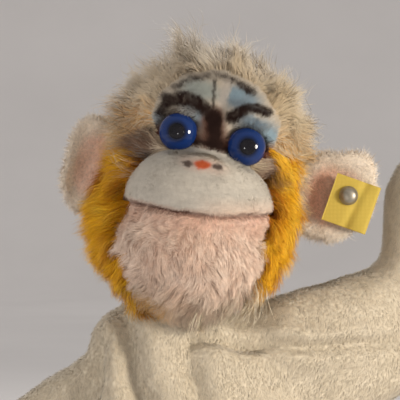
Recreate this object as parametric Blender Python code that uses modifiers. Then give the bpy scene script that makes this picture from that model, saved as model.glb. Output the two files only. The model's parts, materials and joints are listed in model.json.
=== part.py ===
"""Monkey glove puppet: stuffed mohair head on a finger tube, plush hand sleeve, two arms.

Lengths below are millimetres and are scaled to metres when a mesh is made. The puppet stands on
its open hem at z = 0, faces -Y, and its own left is +X. The head is cocked towards its left and
the left arm waves.
"""

import math

import bmesh
import bpy
from mathutils import Matrix, Vector

MM = 0.001
GAP = 0.35  # clearance between neighbouring pieces
FAR = 90.0  # reach of cutters that only need to be long

# hand sleeve: height, half width, half depth, sideways slope of each section
SLEEVE_SECTIONS = (
    (-3.0, 48.0, 33.4, 0.00),
    (0.0, 48.0, 33.4, 0.00),
    (25.0, 46.5, 31.0, 0.00),
    (60.0, 43.0, 28.5, 0.03),
    (90.0, 38.5, 25.5, 0.12),
    (112.0, 34.5, 22.5, 0.20),
    (128.0, 30.0, 19.5, 0.20),
    (139.0, 23.0, 17.0, 0.12),
    (147.0, 16.2, 16.2, 0.00),
)
SLEEVE_SIDES = 36
PLUSH = 2.4  # plush thickness, pile included
SEAM = 0.4  # slit between the two sleeve panels
HEM_HEIGHT = 8.0
HEM_THICKNESS = 1.0

# neck joint
NECK = Vector((0.0, 0.0, 150.0))
HEAD_COCK = math.radians(12.4)
NECK_CLEAR = 17.2
GATHER_OUTER = 13.0
GATHER_INNER = 11.8
GATHER_TOP = 70.0  # polar angle of the gathered ring's upper edge, degrees
GATHER_BOTTOM = 122.0
CORD_RING = 13.0
CORD_RADIUS = 1.1
CORD_HEIGHT = 8.8
TUBE_OUTER = 8.8
TUBE_INNER = 7.8
TUBE_BOTTOM = -2.0
TUBE_TOP = 36.0

# head, measured from the neck joint
SKULL_CENTRE = Vector((0.0, 0.0, 43.0))
SKULL_RADII = Vector((23.5, 23.0, 24.0))
SNOUT_CENTRE = Vector((0.0, -15.0, 21.5))
SNOUT_RADII = Vector((19.5, 18.5, 21.0))
SKIN = 2.4
MOUTH_HEIGHT = 27.0
CHIN_BACK = -7.5
MASK_CENTRE = Vector((0.0, -25.0, 49.5))
MASK_RADII = (15.5, 12.5)
CHEEK_CENTRE = Vector((17.5, -7.0, 25.5))
CHEEK_RADII = Vector((6.5, 10.0, 17.0))

# eyes
EYE_CENTRE = Vector((8.7, -20.6, 45.3))
EYE_RADII = Vector((4.9, 3.6, 4.9))
EYE_TOE_OUT = math.radians(14.0)
PUPIL_RADIUS = 2.4
PUPIL_DEPTH = 0.9
LOOP_RING = 1.5
LOOP_WIRE = 0.4
LOOP_SET_BACK = 5.8
LOOP_CHANNEL = 2.5
THREAD = 0.5
THREAD_CHANNEL = 0.9

# ears, measured from their sewn edge
EAR_HINGES = {"l": Vector((24.0, 4.0, 38.0)), "r": Vector((-22.9, 4.0, 32.8))}
EAR_RADII = {"l": (10.4, 11.2), "r": (7.6, 11.9)}
EAR_CUP = 60.0
EAR_LAYER = 1.0

# stud and ribbon in the left ear, measured from the ear's sewn edge
STUD_PLACE = Vector((13.9, 0.0, 1.3))
STUD_HEAD = 2.5
STUD_POST = 0.9
STUD_HOLE = 1.3
TAG_WIDTH = 12.5
TAG_INNER = -4.6
TAG_FOLD = 7.4
TAG_LEAF = 0.35
TAG_FRONT = -4.4
TAG_REAR = -3.1
TAG_TURN = math.radians(-7.0)

# arms
SHOULDER_L = Vector((27.0, 0.0, 138.0))
SHOULDER_R = Vector((-26.0, 0.0, 121.0))
ELBOW_L = Vector((65.0, 13.0, 148.5))
ELBOW_R = Vector((-51.05, -4.0, 103.0))
SHOULDER_BALL = 15.0
ELBOW_BALL = 14.4
ARM_ROOT = 13.0
ARM_END = 12.4
ARM_WALL = 2.2
ARM_FLAT = 0.82  # depth of the arms over their height
WRIST = 10.4
MITTEN = 12.0
HAND_LENGTH = 42.0
HAND_LEAN_L = math.radians(84.0)
HAND_LEAN_R = math.radians(235.0)
PAD_THICKNESS = 1.2
PAD_RADII = (9.0, 7.0)
PAD_PLACE = 27.0


# ---------------------------------------------------------------- scene helpers
def clear_scene():
    for obj in list(bpy.data.objects):
        bpy.data.objects.remove(obj, do_unlink=True)


def new_collection(name):
    collection = bpy.data.collections.new(name)
    bpy.context.scene.collection.children.link(collection)
    return collection


def new_material(name, colour, roughness, metallic=0.0):
    material = bpy.data.materials.new(name)
    material.use_nodes = True
    shader = material.node_tree.nodes["Principled BSDF"]
    shader.inputs["Base Color"].default_value = (*colour, 1.0)
    shader.inputs["Roughness"].default_value = roughness
    shader.inputs["Metallic"].default_value = metallic
    return material


def place(name, mesh, frame, group, material=None):
    """An object whose origin is the frame's origin; a frame's offset is in millimetres."""
    obj = bpy.data.objects.new(name, mesh)
    location, rotation, _ = frame.decompose()
    obj.matrix_world = Matrix.Translation(location * MM) @ rotation.to_matrix().to_4x4()
    group.objects.link(obj)
    if material is not None:
        mesh.materials.append(material)
        for polygon in mesh.polygons:
            polygon.use_smooth = True
    return obj


def place_cutter(name, mesh, frame):
    obj = place(name, mesh, frame, CUTTERS)
    obj.hide_render = True
    obj.display_type = "WIRE"
    return obj


def carve(obj, operation, *cutters):
    for cutter in cutters:
        modifier = obj.modifiers.new(cutter.name, "BOOLEAN")
        modifier.operation = operation
        modifier.solver = "EXACT"
        modifier.object = cutter


# ---------------------------------------------------------------- mesh helpers
def finished(bm, name="solid"):
    bmesh.ops.remove_doubles(bm, verts=bm.verts, dist=1e-7)
    bmesh.ops.recalc_face_normals(bm, faces=bm.faces)
    mesh = bpy.data.meshes.new(name)
    bm.to_mesh(mesh)
    bm.free()
    return mesh


def ellipsoid(centre, radii, turn=0.0, segments=22, rings=12):
    bm = bmesh.new()
    matrix = (
        Matrix.Translation(Vector(centre) * MM)
        @ Matrix.Rotation(turn, 4, "Z")
        @ Matrix.Diagonal((*(Vector(radii) * MM), 1.0))
    )
    bmesh.ops.create_uvsphere(
        bm, u_segments=segments, v_segments=rings, radius=1.0, matrix=matrix
    )
    return finished(bm)


def ball(radius, centre=(0.0, 0.0, 0.0), segments=20, rings=12):
    return ellipsoid(centre, (radius, radius, radius), 0.0, segments, rings)


def cylinder(start, end, radius, flat=1.0, segments=18):
    """A round bar between two points; flat narrows its second cross axis."""
    start, end = Vector(start), Vector(end)
    along = end - start
    turn = along.to_track_quat("Z", "Y").to_matrix().to_4x4()
    bm = bmesh.new()
    bmesh.ops.create_cone(
        bm,
        cap_ends=True,
        segments=segments,
        radius1=radius * MM,
        radius2=radius * MM,
        depth=along.length * MM,
        matrix=Matrix.Translation((start + end) * 0.5 * MM)
        @ turn
        @ Matrix.Diagonal((flat, 1.0, 1.0, 1.0)),
    )
    return finished(bm)


def box(low, high):
    low, high = Vector(low), Vector(high)
    size = (high - low) * MM
    bm = bmesh.new()
    matrix = Matrix.Translation((low + high) * 0.5 * MM) @ Matrix.Diagonal((*size, 1.0))
    bmesh.ops.create_cube(bm, size=1.0, matrix=matrix)
    return finished(bm)


def lathe(profile, steps=22, closed=True):
    """A profile of (radius, height) points turned about Z by the Screw modifier."""
    points = [Vector((radius, 0.0, height)) * MM for radius, height in profile]
    links = [(i, i + 1) for i in range(len(points) - 1)]
    if closed:
        links.append((len(points) - 1, 0))
    mesh = bpy.data.meshes.new("profile")
    mesh.from_pydata(points, links, [])
    obj = bpy.data.objects.new("profile", mesh)
    bpy.context.scene.collection.objects.link(obj)
    screw = obj.modifiers.new("turn", "SCREW")
    screw.axis = "Z"
    screw.angle = math.tau
    screw.steps = screw.render_steps = steps
    screw.use_merge_vertices = True
    screw.merge_threshold = 1e-6
    turned = evaluated_mesh(obj)
    bpy.data.objects.remove(obj, do_unlink=True)
    return turned


def evaluated_mesh(obj):
    depsgraph = bpy.context.evaluated_depsgraph_get()
    mesh = bpy.data.meshes.new_from_object(obj.evaluated_get(depsgraph))
    bm = bmesh.new()
    bm.from_mesh(mesh)
    return finished(bm)


def reshaped(mesh, matrix):
    mesh.transform(matrix)
    mesh.update()
    bm = bmesh.new()
    bm.from_mesh(mesh)
    return finished(bm)


def arc(centre, radius, start, end, count):
    """Points of a circle in the profile plane; angles in degrees from the turning axis."""
    points = []
    for i in range(count + 1):
        angle = math.radians(start + (end - start) * i / count)
        x = centre[0] + radius * math.sin(angle)
        points.append((x, centre[1] + radius * math.cos(angle)))
    return points


def loft(sections, sides=SLEEVE_SIDES):
    """An open tube through unlike oval sections, each sheared along the width."""
    bm = bmesh.new()
    rings = []
    for height, half_width, half_depth, slope in sections:
        ring = []
        for i in range(sides):
            angle = math.tau * i / sides
            x = half_width * math.cos(angle)
            y = half_depth * math.sin(angle)
            ring.append(bm.verts.new(Vector((x, y, height + slope * x)) * MM))
        rings.append(ring)
    for low, high in zip(rings, rings[1:]):
        for i in range(sides):
            j = (i + 1) % sides
            bm.faces.new((low[i], low[j], high[j], high[i]))
    return finished(bm, "loft")


def thicken(obj, thickness, offset=-1.0):
    solidify = obj.modifiers.new("thickness", "SOLIDIFY")
    solidify.thickness = thickness * MM
    solidify.offset = offset
    solidify.use_even_offset = True
    solidify.use_rim = True


def shrunk(radii, amount):
    return Vector([value - amount for value in radii])


def mirrored(point):
    return Vector((-point.x, point.y, point.z))


def frame_along(origin, direction):
    """Local X runs along the direction, local Z stays as upright as it can."""
    x_axis = direction.normalized()
    y_axis = Vector((0.0, 0.0, 1.0)).cross(x_axis).normalized()
    z_axis = x_axis.cross(y_axis)
    turn = Matrix((x_axis, y_axis, z_axis)).transposed().to_4x4()
    return Matrix.Translation(origin) @ turn


# ---------------------------------------------------------------- hand sleeve
def build_sleeve():
    whole = Matrix.Identity(4)
    openings = []
    for side, shoulder, elbow in (
        ("l", SHOULDER_L, ELBOW_L),
        ("r", SHOULDER_R, ELBOW_R),
    ):
        hole = place_cutter(
            "armhole_" + side, ball(SHOULDER_BALL + GAP), Matrix.Translation(shoulder)
        )
        openings.append(hole)
        sign = 1.0 if side == "l" else -1.0
        for number, swing in enumerate((-12.0, 0.0, 14.0, 36.0)):
            turn = Matrix.Rotation(math.radians(-sign * swing), 3, "Z")
            reach = turn @ (elbow - shoulder)
            bar = cylinder((0, 0, 0), reach * 1.2, ARM_ROOT + GAP + 0.4)
            openings.append(
                place_cutter(
                    f"arm_path_{side}{number}", bar, Matrix.Translation(shoulder)
                )
            )
    halves = {
        "front": box((-FAR, -FAR, 0.0), (FAR, -SEAM / 2, 2 * FAR)),
        "back": box((-FAR, SEAM / 2, 0.0), (FAR, FAR, 2 * FAR)),
    }
    for half, half_box in halves.items():
        panel = place("body_" + half, loft(SLEEVE_SECTIONS), whole, PUPPET, CREAM_PLUSH)
        thicken(panel, PLUSH)
        carve(panel, "INTERSECT", place_cutter("half_" + half, half_box, whole))
        carve(panel, "DIFFERENCE", *openings)
    bottom = SLEEVE_SECTIONS[0]
    inset = PLUSH + 0.4
    tape_sections = [
        (bottom[0], bottom[1] - inset, bottom[2] - inset, 0.0),
        (HEM_HEIGHT, bottom[1] - inset - 0.5, bottom[2] - inset - 0.4, 0.0),
    ]
    tape = place("hem_tape", loft(tape_sections), whole, PUPPET, TAPE)
    thicken(tape, HEM_THICKNESS)
    above = box((-FAR, -FAR, 0.0), (FAR, FAR, FAR))
    carve(tape, "INTERSECT", place_cutter("above_ground", above, whole))


# ---------------------------------------------------------------- neck
def build_neck():
    neck = Matrix.Translation(NECK)
    ring = arc((0, 0), GATHER_OUTER, GATHER_TOP, GATHER_BOTTOM, 3)
    ring += arc((0, 0), GATHER_INNER, GATHER_BOTTOM, GATHER_TOP, 3)
    place("neck_gather", lathe(ring), neck, PUPPET, CREAM_PLUSH)
    cord = arc((CORD_RING, CORD_HEIGHT), CORD_RADIUS, 0, 300, 5)
    place("neck_cord", lathe(cord), HEAD, PUPPET, WAXED_CORD)


# ---------------------------------------------------------------- head
def build_head():
    cut = {
        "skull_hollow": ellipsoid(SKULL_CENTRE, shrunk(SKULL_RADII, SKIN)),
        "snout_hollow": ellipsoid(SNOUT_CENTRE, shrunk(SNOUT_RADII, SKIN)),
        "skull_room": ellipsoid(SKULL_CENTRE, shrunk(SKULL_RADII, -GAP)),
        "snout_room": ellipsoid(SNOUT_CENTRE, shrunk(SNOUT_RADII, -GAP)),
        "neck_room": ball(NECK_CLEAR),
        "above_mouth": box((-FAR, -FAR, MOUTH_HEIGHT), (FAR, FAR, FAR)),
        "below_mouth": box((-FAR, -FAR, -FAR), (FAR, FAR, MOUTH_HEIGHT - GAP)),
        "behind_chin": box((-FAR, CHIN_BACK, -FAR), (FAR, FAR, FAR)),
        "tube_room": cylinder(
            (0, 0, -20), (0, 0, TUBE_TOP + GAP), TUBE_OUTER + GAP, 1.0, 22
        ),
        "mask_edge": mask_bar(0.0),
        "mask_room": mask_bar(GAP),
    }
    cut = {name: place_cutter(name, mesh, HEAD) for name, mesh in cut.items()}
    for side, sign in (("l", 1.0), ("r", -1.0)):
        centre = Vector((sign * EYE_CENTRE.x, EYE_CENTRE.y, EYE_CENTRE.z))
        room = ellipsoid(centre, shrunk(EYE_RADII, -GAP), sign * EYE_TOE_OUT)
        cut["eye_room_" + side] = place_cutter("eye_room_" + side, room, HEAD)
    eyes = (cut["eye_room_l"], cut["eye_room_r"])

    crown = place(
        "crown_cover",
        ellipsoid(SKULL_CENTRE, SKULL_RADII, 0.0, 26, 15),
        HEAD,
        PUPPET,
        CREAM_MOHAIR,
    )
    carve(crown, "DIFFERENCE", cut["skull_hollow"], cut["snout_room"])
    carve(crown, "DIFFERENCE", cut["mask_room"], cut["neck_room"], cut["tube_room"])

    mask = place(
        "face_mask",
        ellipsoid(SKULL_CENTRE, SKULL_RADII, 0.0, 26, 15),
        HEAD,
        PUPPET,
        PAINTED_VELVET,
    )
    carve(mask, "DIFFERENCE", cut["skull_hollow"])
    carve(mask, "INTERSECT", cut["mask_edge"])
    carve(mask, "DIFFERENCE", cut["snout_room"], *eyes)

    snout = ellipsoid(SNOUT_CENTRE, SNOUT_RADII, 0.0, 26, 15)
    muzzle = place("muzzle_cover", snout, HEAD, PUPPET, WHITE_VELVET)
    carve(muzzle, "DIFFERENCE", cut["snout_hollow"])
    carve(muzzle, "INTERSECT", cut["above_mouth"])
    carve(muzzle, "DIFFERENCE", cut["skull_room"])

    snout = ellipsoid(SNOUT_CENTRE, SNOUT_RADII, 0.0, 26, 15)
    chin = place("chin_cover", snout, HEAD, PUPPET, PINK_MOHAIR)
    carve(chin, "DIFFERENCE", cut["snout_hollow"])
    carve(chin, "INTERSECT", cut["below_mouth"])
    carve(chin, "DIFFERENCE", cut["skull_room"], cut["neck_room"], cut["behind_chin"])

    for side, sign in (("l", 1.0), ("r", -1.0)):
        centre = Vector((sign * CHEEK_CENTRE.x, CHEEK_CENTRE.y, CHEEK_CENTRE.z))
        pad = ellipsoid(centre, CHEEK_RADII, 0.0, 16, 10)
        cheek = place("cheek_" + side, pad, HEAD, PUPPET, GOLD_MOHAIR)
        carve(cheek, "DIFFERENCE", cut["skull_room"], cut["snout_room"])
        carve(cheek, "DIFFERENCE", cut["neck_room"])

    build_core(cut, eyes)
    place(
        "neck_tube",
        lathe(
            (
                (TUBE_OUTER, TUBE_TOP),
                (TUBE_OUTER, TUBE_BOTTOM),
                (TUBE_INNER, TUBE_BOTTOM),
                (TUBE_INNER, TUBE_TOP),
            )
        ),
        HEAD,
        PUPPET,
        CARD,
    )
    for side, sign in (("l", 1.0), ("r", -1.0)):
        build_eye(side, sign)
    place("eye_cord", thread_bar(THREAD), HEAD, PUPPET, WAXED_CORD)


def mask_bar(extra):
    """An oval bar from front to back that outlines the brow panel."""
    start = Vector((0.0, -FAR, 0.0))
    end = Vector((0.0, MASK_CENTRE.y + 20.0, 0.0))
    bar = cylinder(start, end, 1.0, 1.0, 24)
    stretch = Matrix.Diagonal((MASK_RADII[0] + extra, 1.0, MASK_RADII[1] + extra, 1.0))
    lift = Matrix.Translation(Vector((0.0, 0.0, MASK_CENTRE.z)) * MM)
    return reshaped(bar, lift @ stretch)


def build_core(cut, eyes):
    core = place(
        "head_core",
        ellipsoid(SKULL_CENTRE, shrunk(SKULL_RADII, SKIN + GAP)),
        HEAD,
        PUPPET,
        WOOD_WOOL,
    )
    snout_core = place_cutter(
        "snout_core", ellipsoid(SNOUT_CENTRE, shrunk(SNOUT_RADII, SKIN + GAP)), HEAD
    )
    thread_room = place_cutter("thread_room", thread_bar(THREAD_CHANNEL), HEAD)
    carve(core, "UNION", snout_core)
    carve(core, "DIFFERENCE", cut["neck_room"], cut["tube_room"], *eyes, thread_room)
    for side, sign in (("l", 1.0), ("r", -1.0)):
        centre = Vector((sign * EYE_CENTRE.x, EYE_CENTRE.y, EYE_CENTRE.z))
        start = centre + Vector((0, 1.0, 0))
        end = centre + Vector((0, LOOP_SET_BACK + LOOP_RING + 1.6, 0))
        channel = cylinder(start, end, LOOP_CHANNEL, 1.0, 10)
        carve(core, "DIFFERENCE", place_cutter("loop_room_" + side, channel, HEAD))


def build_eye(side, sign):
    centre = Vector((sign * EYE_CENTRE.x, EYE_CENTRE.y, EYE_CENTRE.z))
    dome = ellipsoid(centre, EYE_RADII, sign * EYE_TOE_OUT, 18, 10)
    eye = place("eye_" + side, dome, HEAD, PUPPET, BLUE_GLASS)
    outward = Matrix.Rotation(sign * EYE_TOE_OUT, 3, "Z") @ Vector((0.0, -1.0, 0.0))
    front = centre + outward * EYE_RADII.y
    well = cylinder(
        front + outward * 2.0, front - outward * PUPIL_DEPTH, PUPIL_RADIUS + 0.1
    )
    carve(eye, "DIFFERENCE", place_cutter("pupil_well_" + side, well, HEAD))
    dome = ellipsoid(centre, EYE_RADII, sign * EYE_TOE_OUT, 18, 10)
    pupil = place("pupil_" + side, dome, HEAD, PUPPET, BLACK_GLASS)
    plug = cylinder(
        front + outward * 2.0,
        front - outward * (PUPIL_DEPTH - 0.1),
        PUPIL_RADIUS,
    )
    carve(pupil, "INTERSECT", place_cutter("pupil_plug_" + side, plug, HEAD))
    loop = lathe(arc((LOOP_RING, 0), LOOP_WIRE, 0, 270, 3), 12)
    upright = Matrix.Rotation(math.pi / 2, 4, "Y")
    behind = centre + Vector((0.0, LOOP_SET_BACK, 0.0))
    loop = reshaped(loop, Matrix.Translation(behind * MM) @ upright)
    place("eye_loop_" + side, loop, HEAD, PUPPET, WIRE)


def thread_bar(radius):
    """The thread's run from behind one eye, round the back of the stuffing, to the other."""
    start = EYE_CENTRE + Vector((0.0, LOOP_SET_BACK + LOOP_RING + LOOP_WIRE + 1.1, 0.0))
    side = [start, Vector((8.5, 4.0, 44.0)), Vector((6.0, 12.0, 43.0))]
    bend = [Vector((2.5, 15.5, 42.5))]
    points = side + bend + [mirrored(p) for p in reversed(side + bend)]
    curve = bpy.data.curves.new("thread", "CURVE")
    curve.dimensions = "3D"
    curve.bevel_depth = radius * MM
    curve.bevel_resolution = 1
    curve.use_fill_caps = True
    spline = curve.splines.new("POLY")
    spline.points.add(len(points) - 1)
    for point, place_at in zip(spline.points, points):
        point.co = (*(place_at * MM), 1.0)
    obj = bpy.data.objects.new("thread", curve)
    bpy.context.scene.collection.objects.link(obj)
    mesh = evaluated_mesh(obj)
    bpy.data.objects.remove(obj, do_unlink=True)
    return mesh


# ---------------------------------------------------------------- ears
def ear_frame(side):
    return HEAD @ Matrix.Translation(EAR_HINGES[side])


def ear_layer(side, back, scale):
    """A cupped oval disc; back is how far its hollow side sits behind the sewn edge."""
    half_width, half_height = EAR_RADII[side]
    outward = half_width if side == "l" else -half_width
    profile = []
    rings = 2
    for i in range(rings + 1):
        radius = half_height * scale * i / rings
        profile.append((radius, radius * radius / (2 * EAR_CUP)))
    for i in range(rings, -1, -1):
        radius = half_height * scale * i / rings
        profile.append((radius, radius * radius / (2 * EAR_CUP) - EAR_LAYER))
    disc = lathe(profile, 22, closed=False)
    upright = Matrix.Rotation(math.pi / 2, 4, "X")
    oval = Matrix.Diagonal((half_width / half_height, 1.0, 1.0, 1.0))
    shift = Matrix.Translation(Vector((outward, back, 0.0)) * MM)
    return reshaped(disc, shift @ oval @ upright)


def build_ears():
    for side in ("l", "r"):
        frame = ear_frame(side)
        front = place(
            "ear_front_" + side,
            ear_layer(side, -EAR_LAYER - GAP, 0.94),
            frame,
            PUPPET,
            PINK_FELT,
        )
        back = place(
            "ear_back_" + side, ear_layer(side, 0.0, 1.0), frame, PUPPET, CREAM_PLUSH
        )
        if side == "l":
            hole = cylinder(
                STUD_PLACE + Vector((0, -9, 0)), STUD_PLACE + Vector((0, 9, 0)), STUD_HOLE
            )
            stud_hole = place_cutter("stud_hole", hole, frame)
            carve(front, "DIFFERENCE", stud_hole)
            carve(back, "DIFFERENCE", stud_hole)
    build_stud_and_tag()


def build_stud_and_tag():
    frame = ear_frame("l")
    seat = TAG_FRONT - TAG_LEAF / 2 - GAP
    post_end = EAR_LAYER + 1.9
    stud = arc((0.0, 0.0), STUD_HEAD, 0, 84, 4)
    stud = [(radius, height * 0.62 - seat) for radius, height in stud]
    stud += [(STUD_POST, -seat), (STUD_POST, -post_end), (0.0, -post_end)]
    upright = Matrix.Rotation(math.pi / 2, 4, "X")
    shift = Matrix.Translation(STUD_PLACE * MM)
    mesh = reshaped(lathe(stud, 16, closed=False), shift @ upright)
    place("ear_button", mesh, frame, PUPPET, STEEL)
    washer = (
        (STUD_HEAD, -EAR_LAYER - 0.5),
        (STUD_HEAD, -EAR_LAYER - 1.1),
        (STUD_POST + 0.25, -EAR_LAYER - 1.1),
        (STUD_POST + 0.25, -EAR_LAYER - 0.5),
    )
    mesh = reshaped(lathe(washer, 16), shift @ upright)
    place("ear_washer", mesh, frame, PUPPET, STEEL)
    build_tag(frame)


def build_tag(frame):
    """A folded ribbon: two leaves joined by a round fold on the outer side."""
    middle = (TAG_FRONT + TAG_REAR) / 2
    fold = (TAG_REAR - TAG_FRONT) / 2
    path = [(TAG_INNER, TAG_FRONT), (0.0, TAG_FRONT), (TAG_FOLD - fold, TAG_FRONT)]
    for i in range(1, 6):
        angle = math.pi * i / 6
        path.append(
            (TAG_FOLD - fold + fold * math.sin(angle), middle - fold * math.cos(angle))
        )
    path += [(TAG_FOLD - fold, TAG_REAR), (0.0, TAG_REAR), (TAG_INNER, TAG_REAR)]
    points = [Vector((x, y, -TAG_WIDTH / 2)) * MM for x, y in path]
    mesh = bpy.data.meshes.new("ribbon_path")
    mesh.from_pydata(points, [(i, i + 1) for i in range(len(points) - 1)], [])
    obj = bpy.data.objects.new("ribbon_path", mesh)
    bpy.context.scene.collection.objects.link(obj)
    lift = obj.modifiers.new("width", "SCREW")
    lift.axis = "Z"
    lift.angle = 0.0
    lift.screw_offset = TAG_WIDTH * MM
    lift.steps = lift.render_steps = 1
    thicken(obj, TAG_LEAF, 0.0)
    ribbon = evaluated_mesh(obj)
    bpy.data.objects.remove(obj, do_unlink=True)
    turned = frame @ Matrix.Translation(STUD_PLACE) @ Matrix.Rotation(TAG_TURN, 4, "Y")
    tag = place("ear_tag", ribbon, turned, PUPPET, YELLOW_RIBBON)
    hole = cylinder((0, -9, 0), (0, 9, 0), STUD_POST + 0.25)
    carve(tag, "DIFFERENCE", place_cutter("tag_hole", hole, turned))


# ---------------------------------------------------------------- arms
def lay_along_x(mesh):
    """Turns a lathed solid so that its axis runs along local X, flattened in depth."""
    flat = Matrix.Diagonal((1.0, ARM_FLAT, 1.0, 1.0))
    return reshaped(mesh, flat @ Matrix.Rotation(math.pi / 2, 4, "Y"))


def build_arm(side, shoulder, elbow):
    length = (elbow - shoulder).length
    leave = math.degrees(math.asin(ARM_ROOT / SHOULDER_BALL))
    outer = arc((0, 0), SHOULDER_BALL, 128, leave, 5)
    outer += [(0.5 * (ARM_ROOT + ARM_END) + 0.3, length * 0.55), (ARM_END, length)]
    inner_ball = SHOULDER_BALL - ARM_WALL
    inner_root = ARM_ROOT - ARM_WALL
    leave = math.degrees(math.asin(inner_root / inner_ball))
    inner = [(ARM_END - ARM_WALL, length), (inner_root, length * 0.55)]
    inner += arc((0, 0), inner_ball, leave, 126, 4)
    frame = frame_along(shoulder, elbow - shoulder)
    mesh = lay_along_x(lathe(outer + inner, 20))
    arm = place("arm_" + side, mesh, frame, PUPPET, CREAM_PLUSH)
    room = place_cutter(
        "elbow_room_" + side, ball(ELBOW_BALL + GAP), Matrix.Translation(elbow)
    )
    carve(arm, "DIFFERENCE", room)


def build_hand(side, shoulder, elbow, lean):
    reach = Vector((math.cos(lean), 0.0, math.sin(lean)))
    frame = frame_along(elbow, reach)
    leave = math.degrees(math.asin(WRIST / ELBOW_BALL))
    outer = arc((0, 0), ELBOW_BALL, 122, leave, 5)
    tip = HAND_LENGTH - MITTEN
    outer += [(MITTEN - 0.6, 19.0)] + mitten_tip(tip, 0.0)
    inner_ball = ELBOW_BALL - ARM_WALL
    inner_wrist = WRIST - ARM_WALL
    leave = math.degrees(math.asin(inner_wrist / inner_ball))
    inner = list(reversed(mitten_tip(tip, ARM_WALL))) + [(MITTEN - 0.6 - ARM_WALL, 19.0)]
    inner += arc((0, 0), inner_ball, leave, 120, 4)
    mesh = lay_along_x(lathe(outer + inner, 20))
    hand = place("hand_" + side, mesh, frame, PUPPET, CREAM_PLUSH)
    back = (shoulder - elbow).normalized() * FAR * 0.5
    finger = cylinder((0, 0, 0), back, ARM_END - ARM_WALL - 0.4)
    finger = place_cutter("finger_way_" + side, finger, Matrix.Translation(elbow))
    carve(hand, "DIFFERENCE", finger)

    pad_outer = lathe(pad_profile(GAP + PAD_THICKNESS), 20)
    pad = place("palm_pad_" + side, lay_along_x(pad_outer), frame, PUPPET, PEACH_FELT)
    pad_inner = lay_along_x(lathe(pad_profile(GAP), 20))
    under = place_cutter("pad_under_" + side, pad_inner, frame)
    front = 1.0 if (frame.to_3x3() @ Vector((0, 1, 0))).y < 0 else -1.0
    oval = cylinder((0, 0, 0), (0, front * FAR, 0), 1.0, 1.0, 18)
    stretch = Matrix.Diagonal((PAD_RADII[0], 1.0, PAD_RADII[1], 1.0))
    oval = reshaped(oval, Matrix.Translation((PAD_PLACE * MM, 0, 0)) @ stretch)
    carve(pad, "INTERSECT", place_cutter("pad_outline_" + side, oval, frame))
    carve(pad, "DIFFERENCE", under)


def mitten_tip(start, inset):
    """The mitten's rounded end, from its widest point to its tip."""
    radius = MITTEN - inset
    return [
        (max(x, 0.0), y)
        for x, y in arc((0, start), radius, 90, 0, 4)
    ]


def pad_profile(extra):
    """The forearm's outside grown by extra, as a closed solid that stops at the wrist."""
    tip = HAND_LENGTH - MITTEN
    grown = arc((0, tip), MITTEN + extra, 90, 0, 4)
    return [(0.0, 12.0), (WRIST + 0.4 + extra, 12.0), (MITTEN - 0.6 + extra, 19.0)] + grown


# ---------------------------------------------------------------- build
clear_scene()
PUPPET = new_collection("monkey_glove_puppet")
CUTTERS = new_collection("cutters")
HEAD = Matrix.Translation(NECK) @ Matrix.Rotation(HEAD_COCK, 4, "Y")

CREAM_PLUSH = new_material("cream_plush", (0.62, 0.50, 0.35), 0.95)
CREAM_MOHAIR = new_material("cream_mohair", (0.58, 0.48, 0.33), 0.85)
WHITE_VELVET = new_material("white_velvet", (0.66, 0.60, 0.50), 0.95)
PAINTED_VELVET = new_material("painted_velvet", (0.30, 0.33, 0.34), 0.95)
PINK_MOHAIR = new_material("pink_mohair", (0.68, 0.47, 0.34), 0.9)
GOLD_MOHAIR = new_material("gold_mohair", (0.85, 0.40, 0.02), 0.8)
PINK_FELT = new_material("pink_felt", (0.62, 0.32, 0.24), 0.95)
PEACH_FELT = new_material("peach_felt", (0.66, 0.42, 0.30), 0.95)
WOOD_WOOL = new_material("wood_wool", (0.52, 0.38, 0.20), 0.9)
CARD = new_material("grey_card", (0.36, 0.31, 0.25), 0.9)
TAPE = new_material("cotton_tape", (0.70, 0.66, 0.56), 0.9)
WAXED_CORD = new_material("waxed_cord", (0.55, 0.45, 0.30), 0.6)
BLUE_GLASS = new_material("blue_glass", (0.012, 0.035, 0.30), 0.08)
BLACK_GLASS = new_material("black_glass", (0.006, 0.006, 0.008), 0.06)
WIRE = new_material("steel_wire", (0.45, 0.44, 0.42), 0.35, 1.0)
STEEL = new_material("nickel_steel", (0.48, 0.46, 0.42), 0.32, 1.0)
YELLOW_RIBBON = new_material("yellow_ribbon", (0.74, 0.52, 0.07), 0.8)

build_sleeve()
build_neck()
build_head()
build_ears()
build_arm("l", SHOULDER_L, ELBOW_L)
build_arm("r", SHOULDER_R, ELBOW_R)
build_hand("l", SHOULDER_L, ELBOW_L, HAND_LEAN_L)
build_hand("r", SHOULDER_R, ELBOW_R, HAND_LEAN_R)
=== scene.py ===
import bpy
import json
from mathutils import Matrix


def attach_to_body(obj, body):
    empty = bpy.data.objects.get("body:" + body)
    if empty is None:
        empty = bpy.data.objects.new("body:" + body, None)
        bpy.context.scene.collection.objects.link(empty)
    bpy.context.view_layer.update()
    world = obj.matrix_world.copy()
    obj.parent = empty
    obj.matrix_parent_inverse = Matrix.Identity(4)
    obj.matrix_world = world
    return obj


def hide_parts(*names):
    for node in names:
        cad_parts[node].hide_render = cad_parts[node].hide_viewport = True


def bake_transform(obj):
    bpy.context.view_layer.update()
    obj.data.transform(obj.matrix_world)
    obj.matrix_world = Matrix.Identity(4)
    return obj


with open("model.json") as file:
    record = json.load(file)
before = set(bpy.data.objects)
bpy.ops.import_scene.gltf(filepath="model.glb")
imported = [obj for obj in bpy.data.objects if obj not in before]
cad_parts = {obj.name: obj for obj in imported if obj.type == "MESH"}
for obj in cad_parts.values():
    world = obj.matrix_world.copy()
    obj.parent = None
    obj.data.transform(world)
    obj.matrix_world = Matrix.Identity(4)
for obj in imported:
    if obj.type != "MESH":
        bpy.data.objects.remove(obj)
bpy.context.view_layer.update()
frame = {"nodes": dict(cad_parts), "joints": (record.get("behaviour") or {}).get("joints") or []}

import itertools
import json
import math

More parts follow.
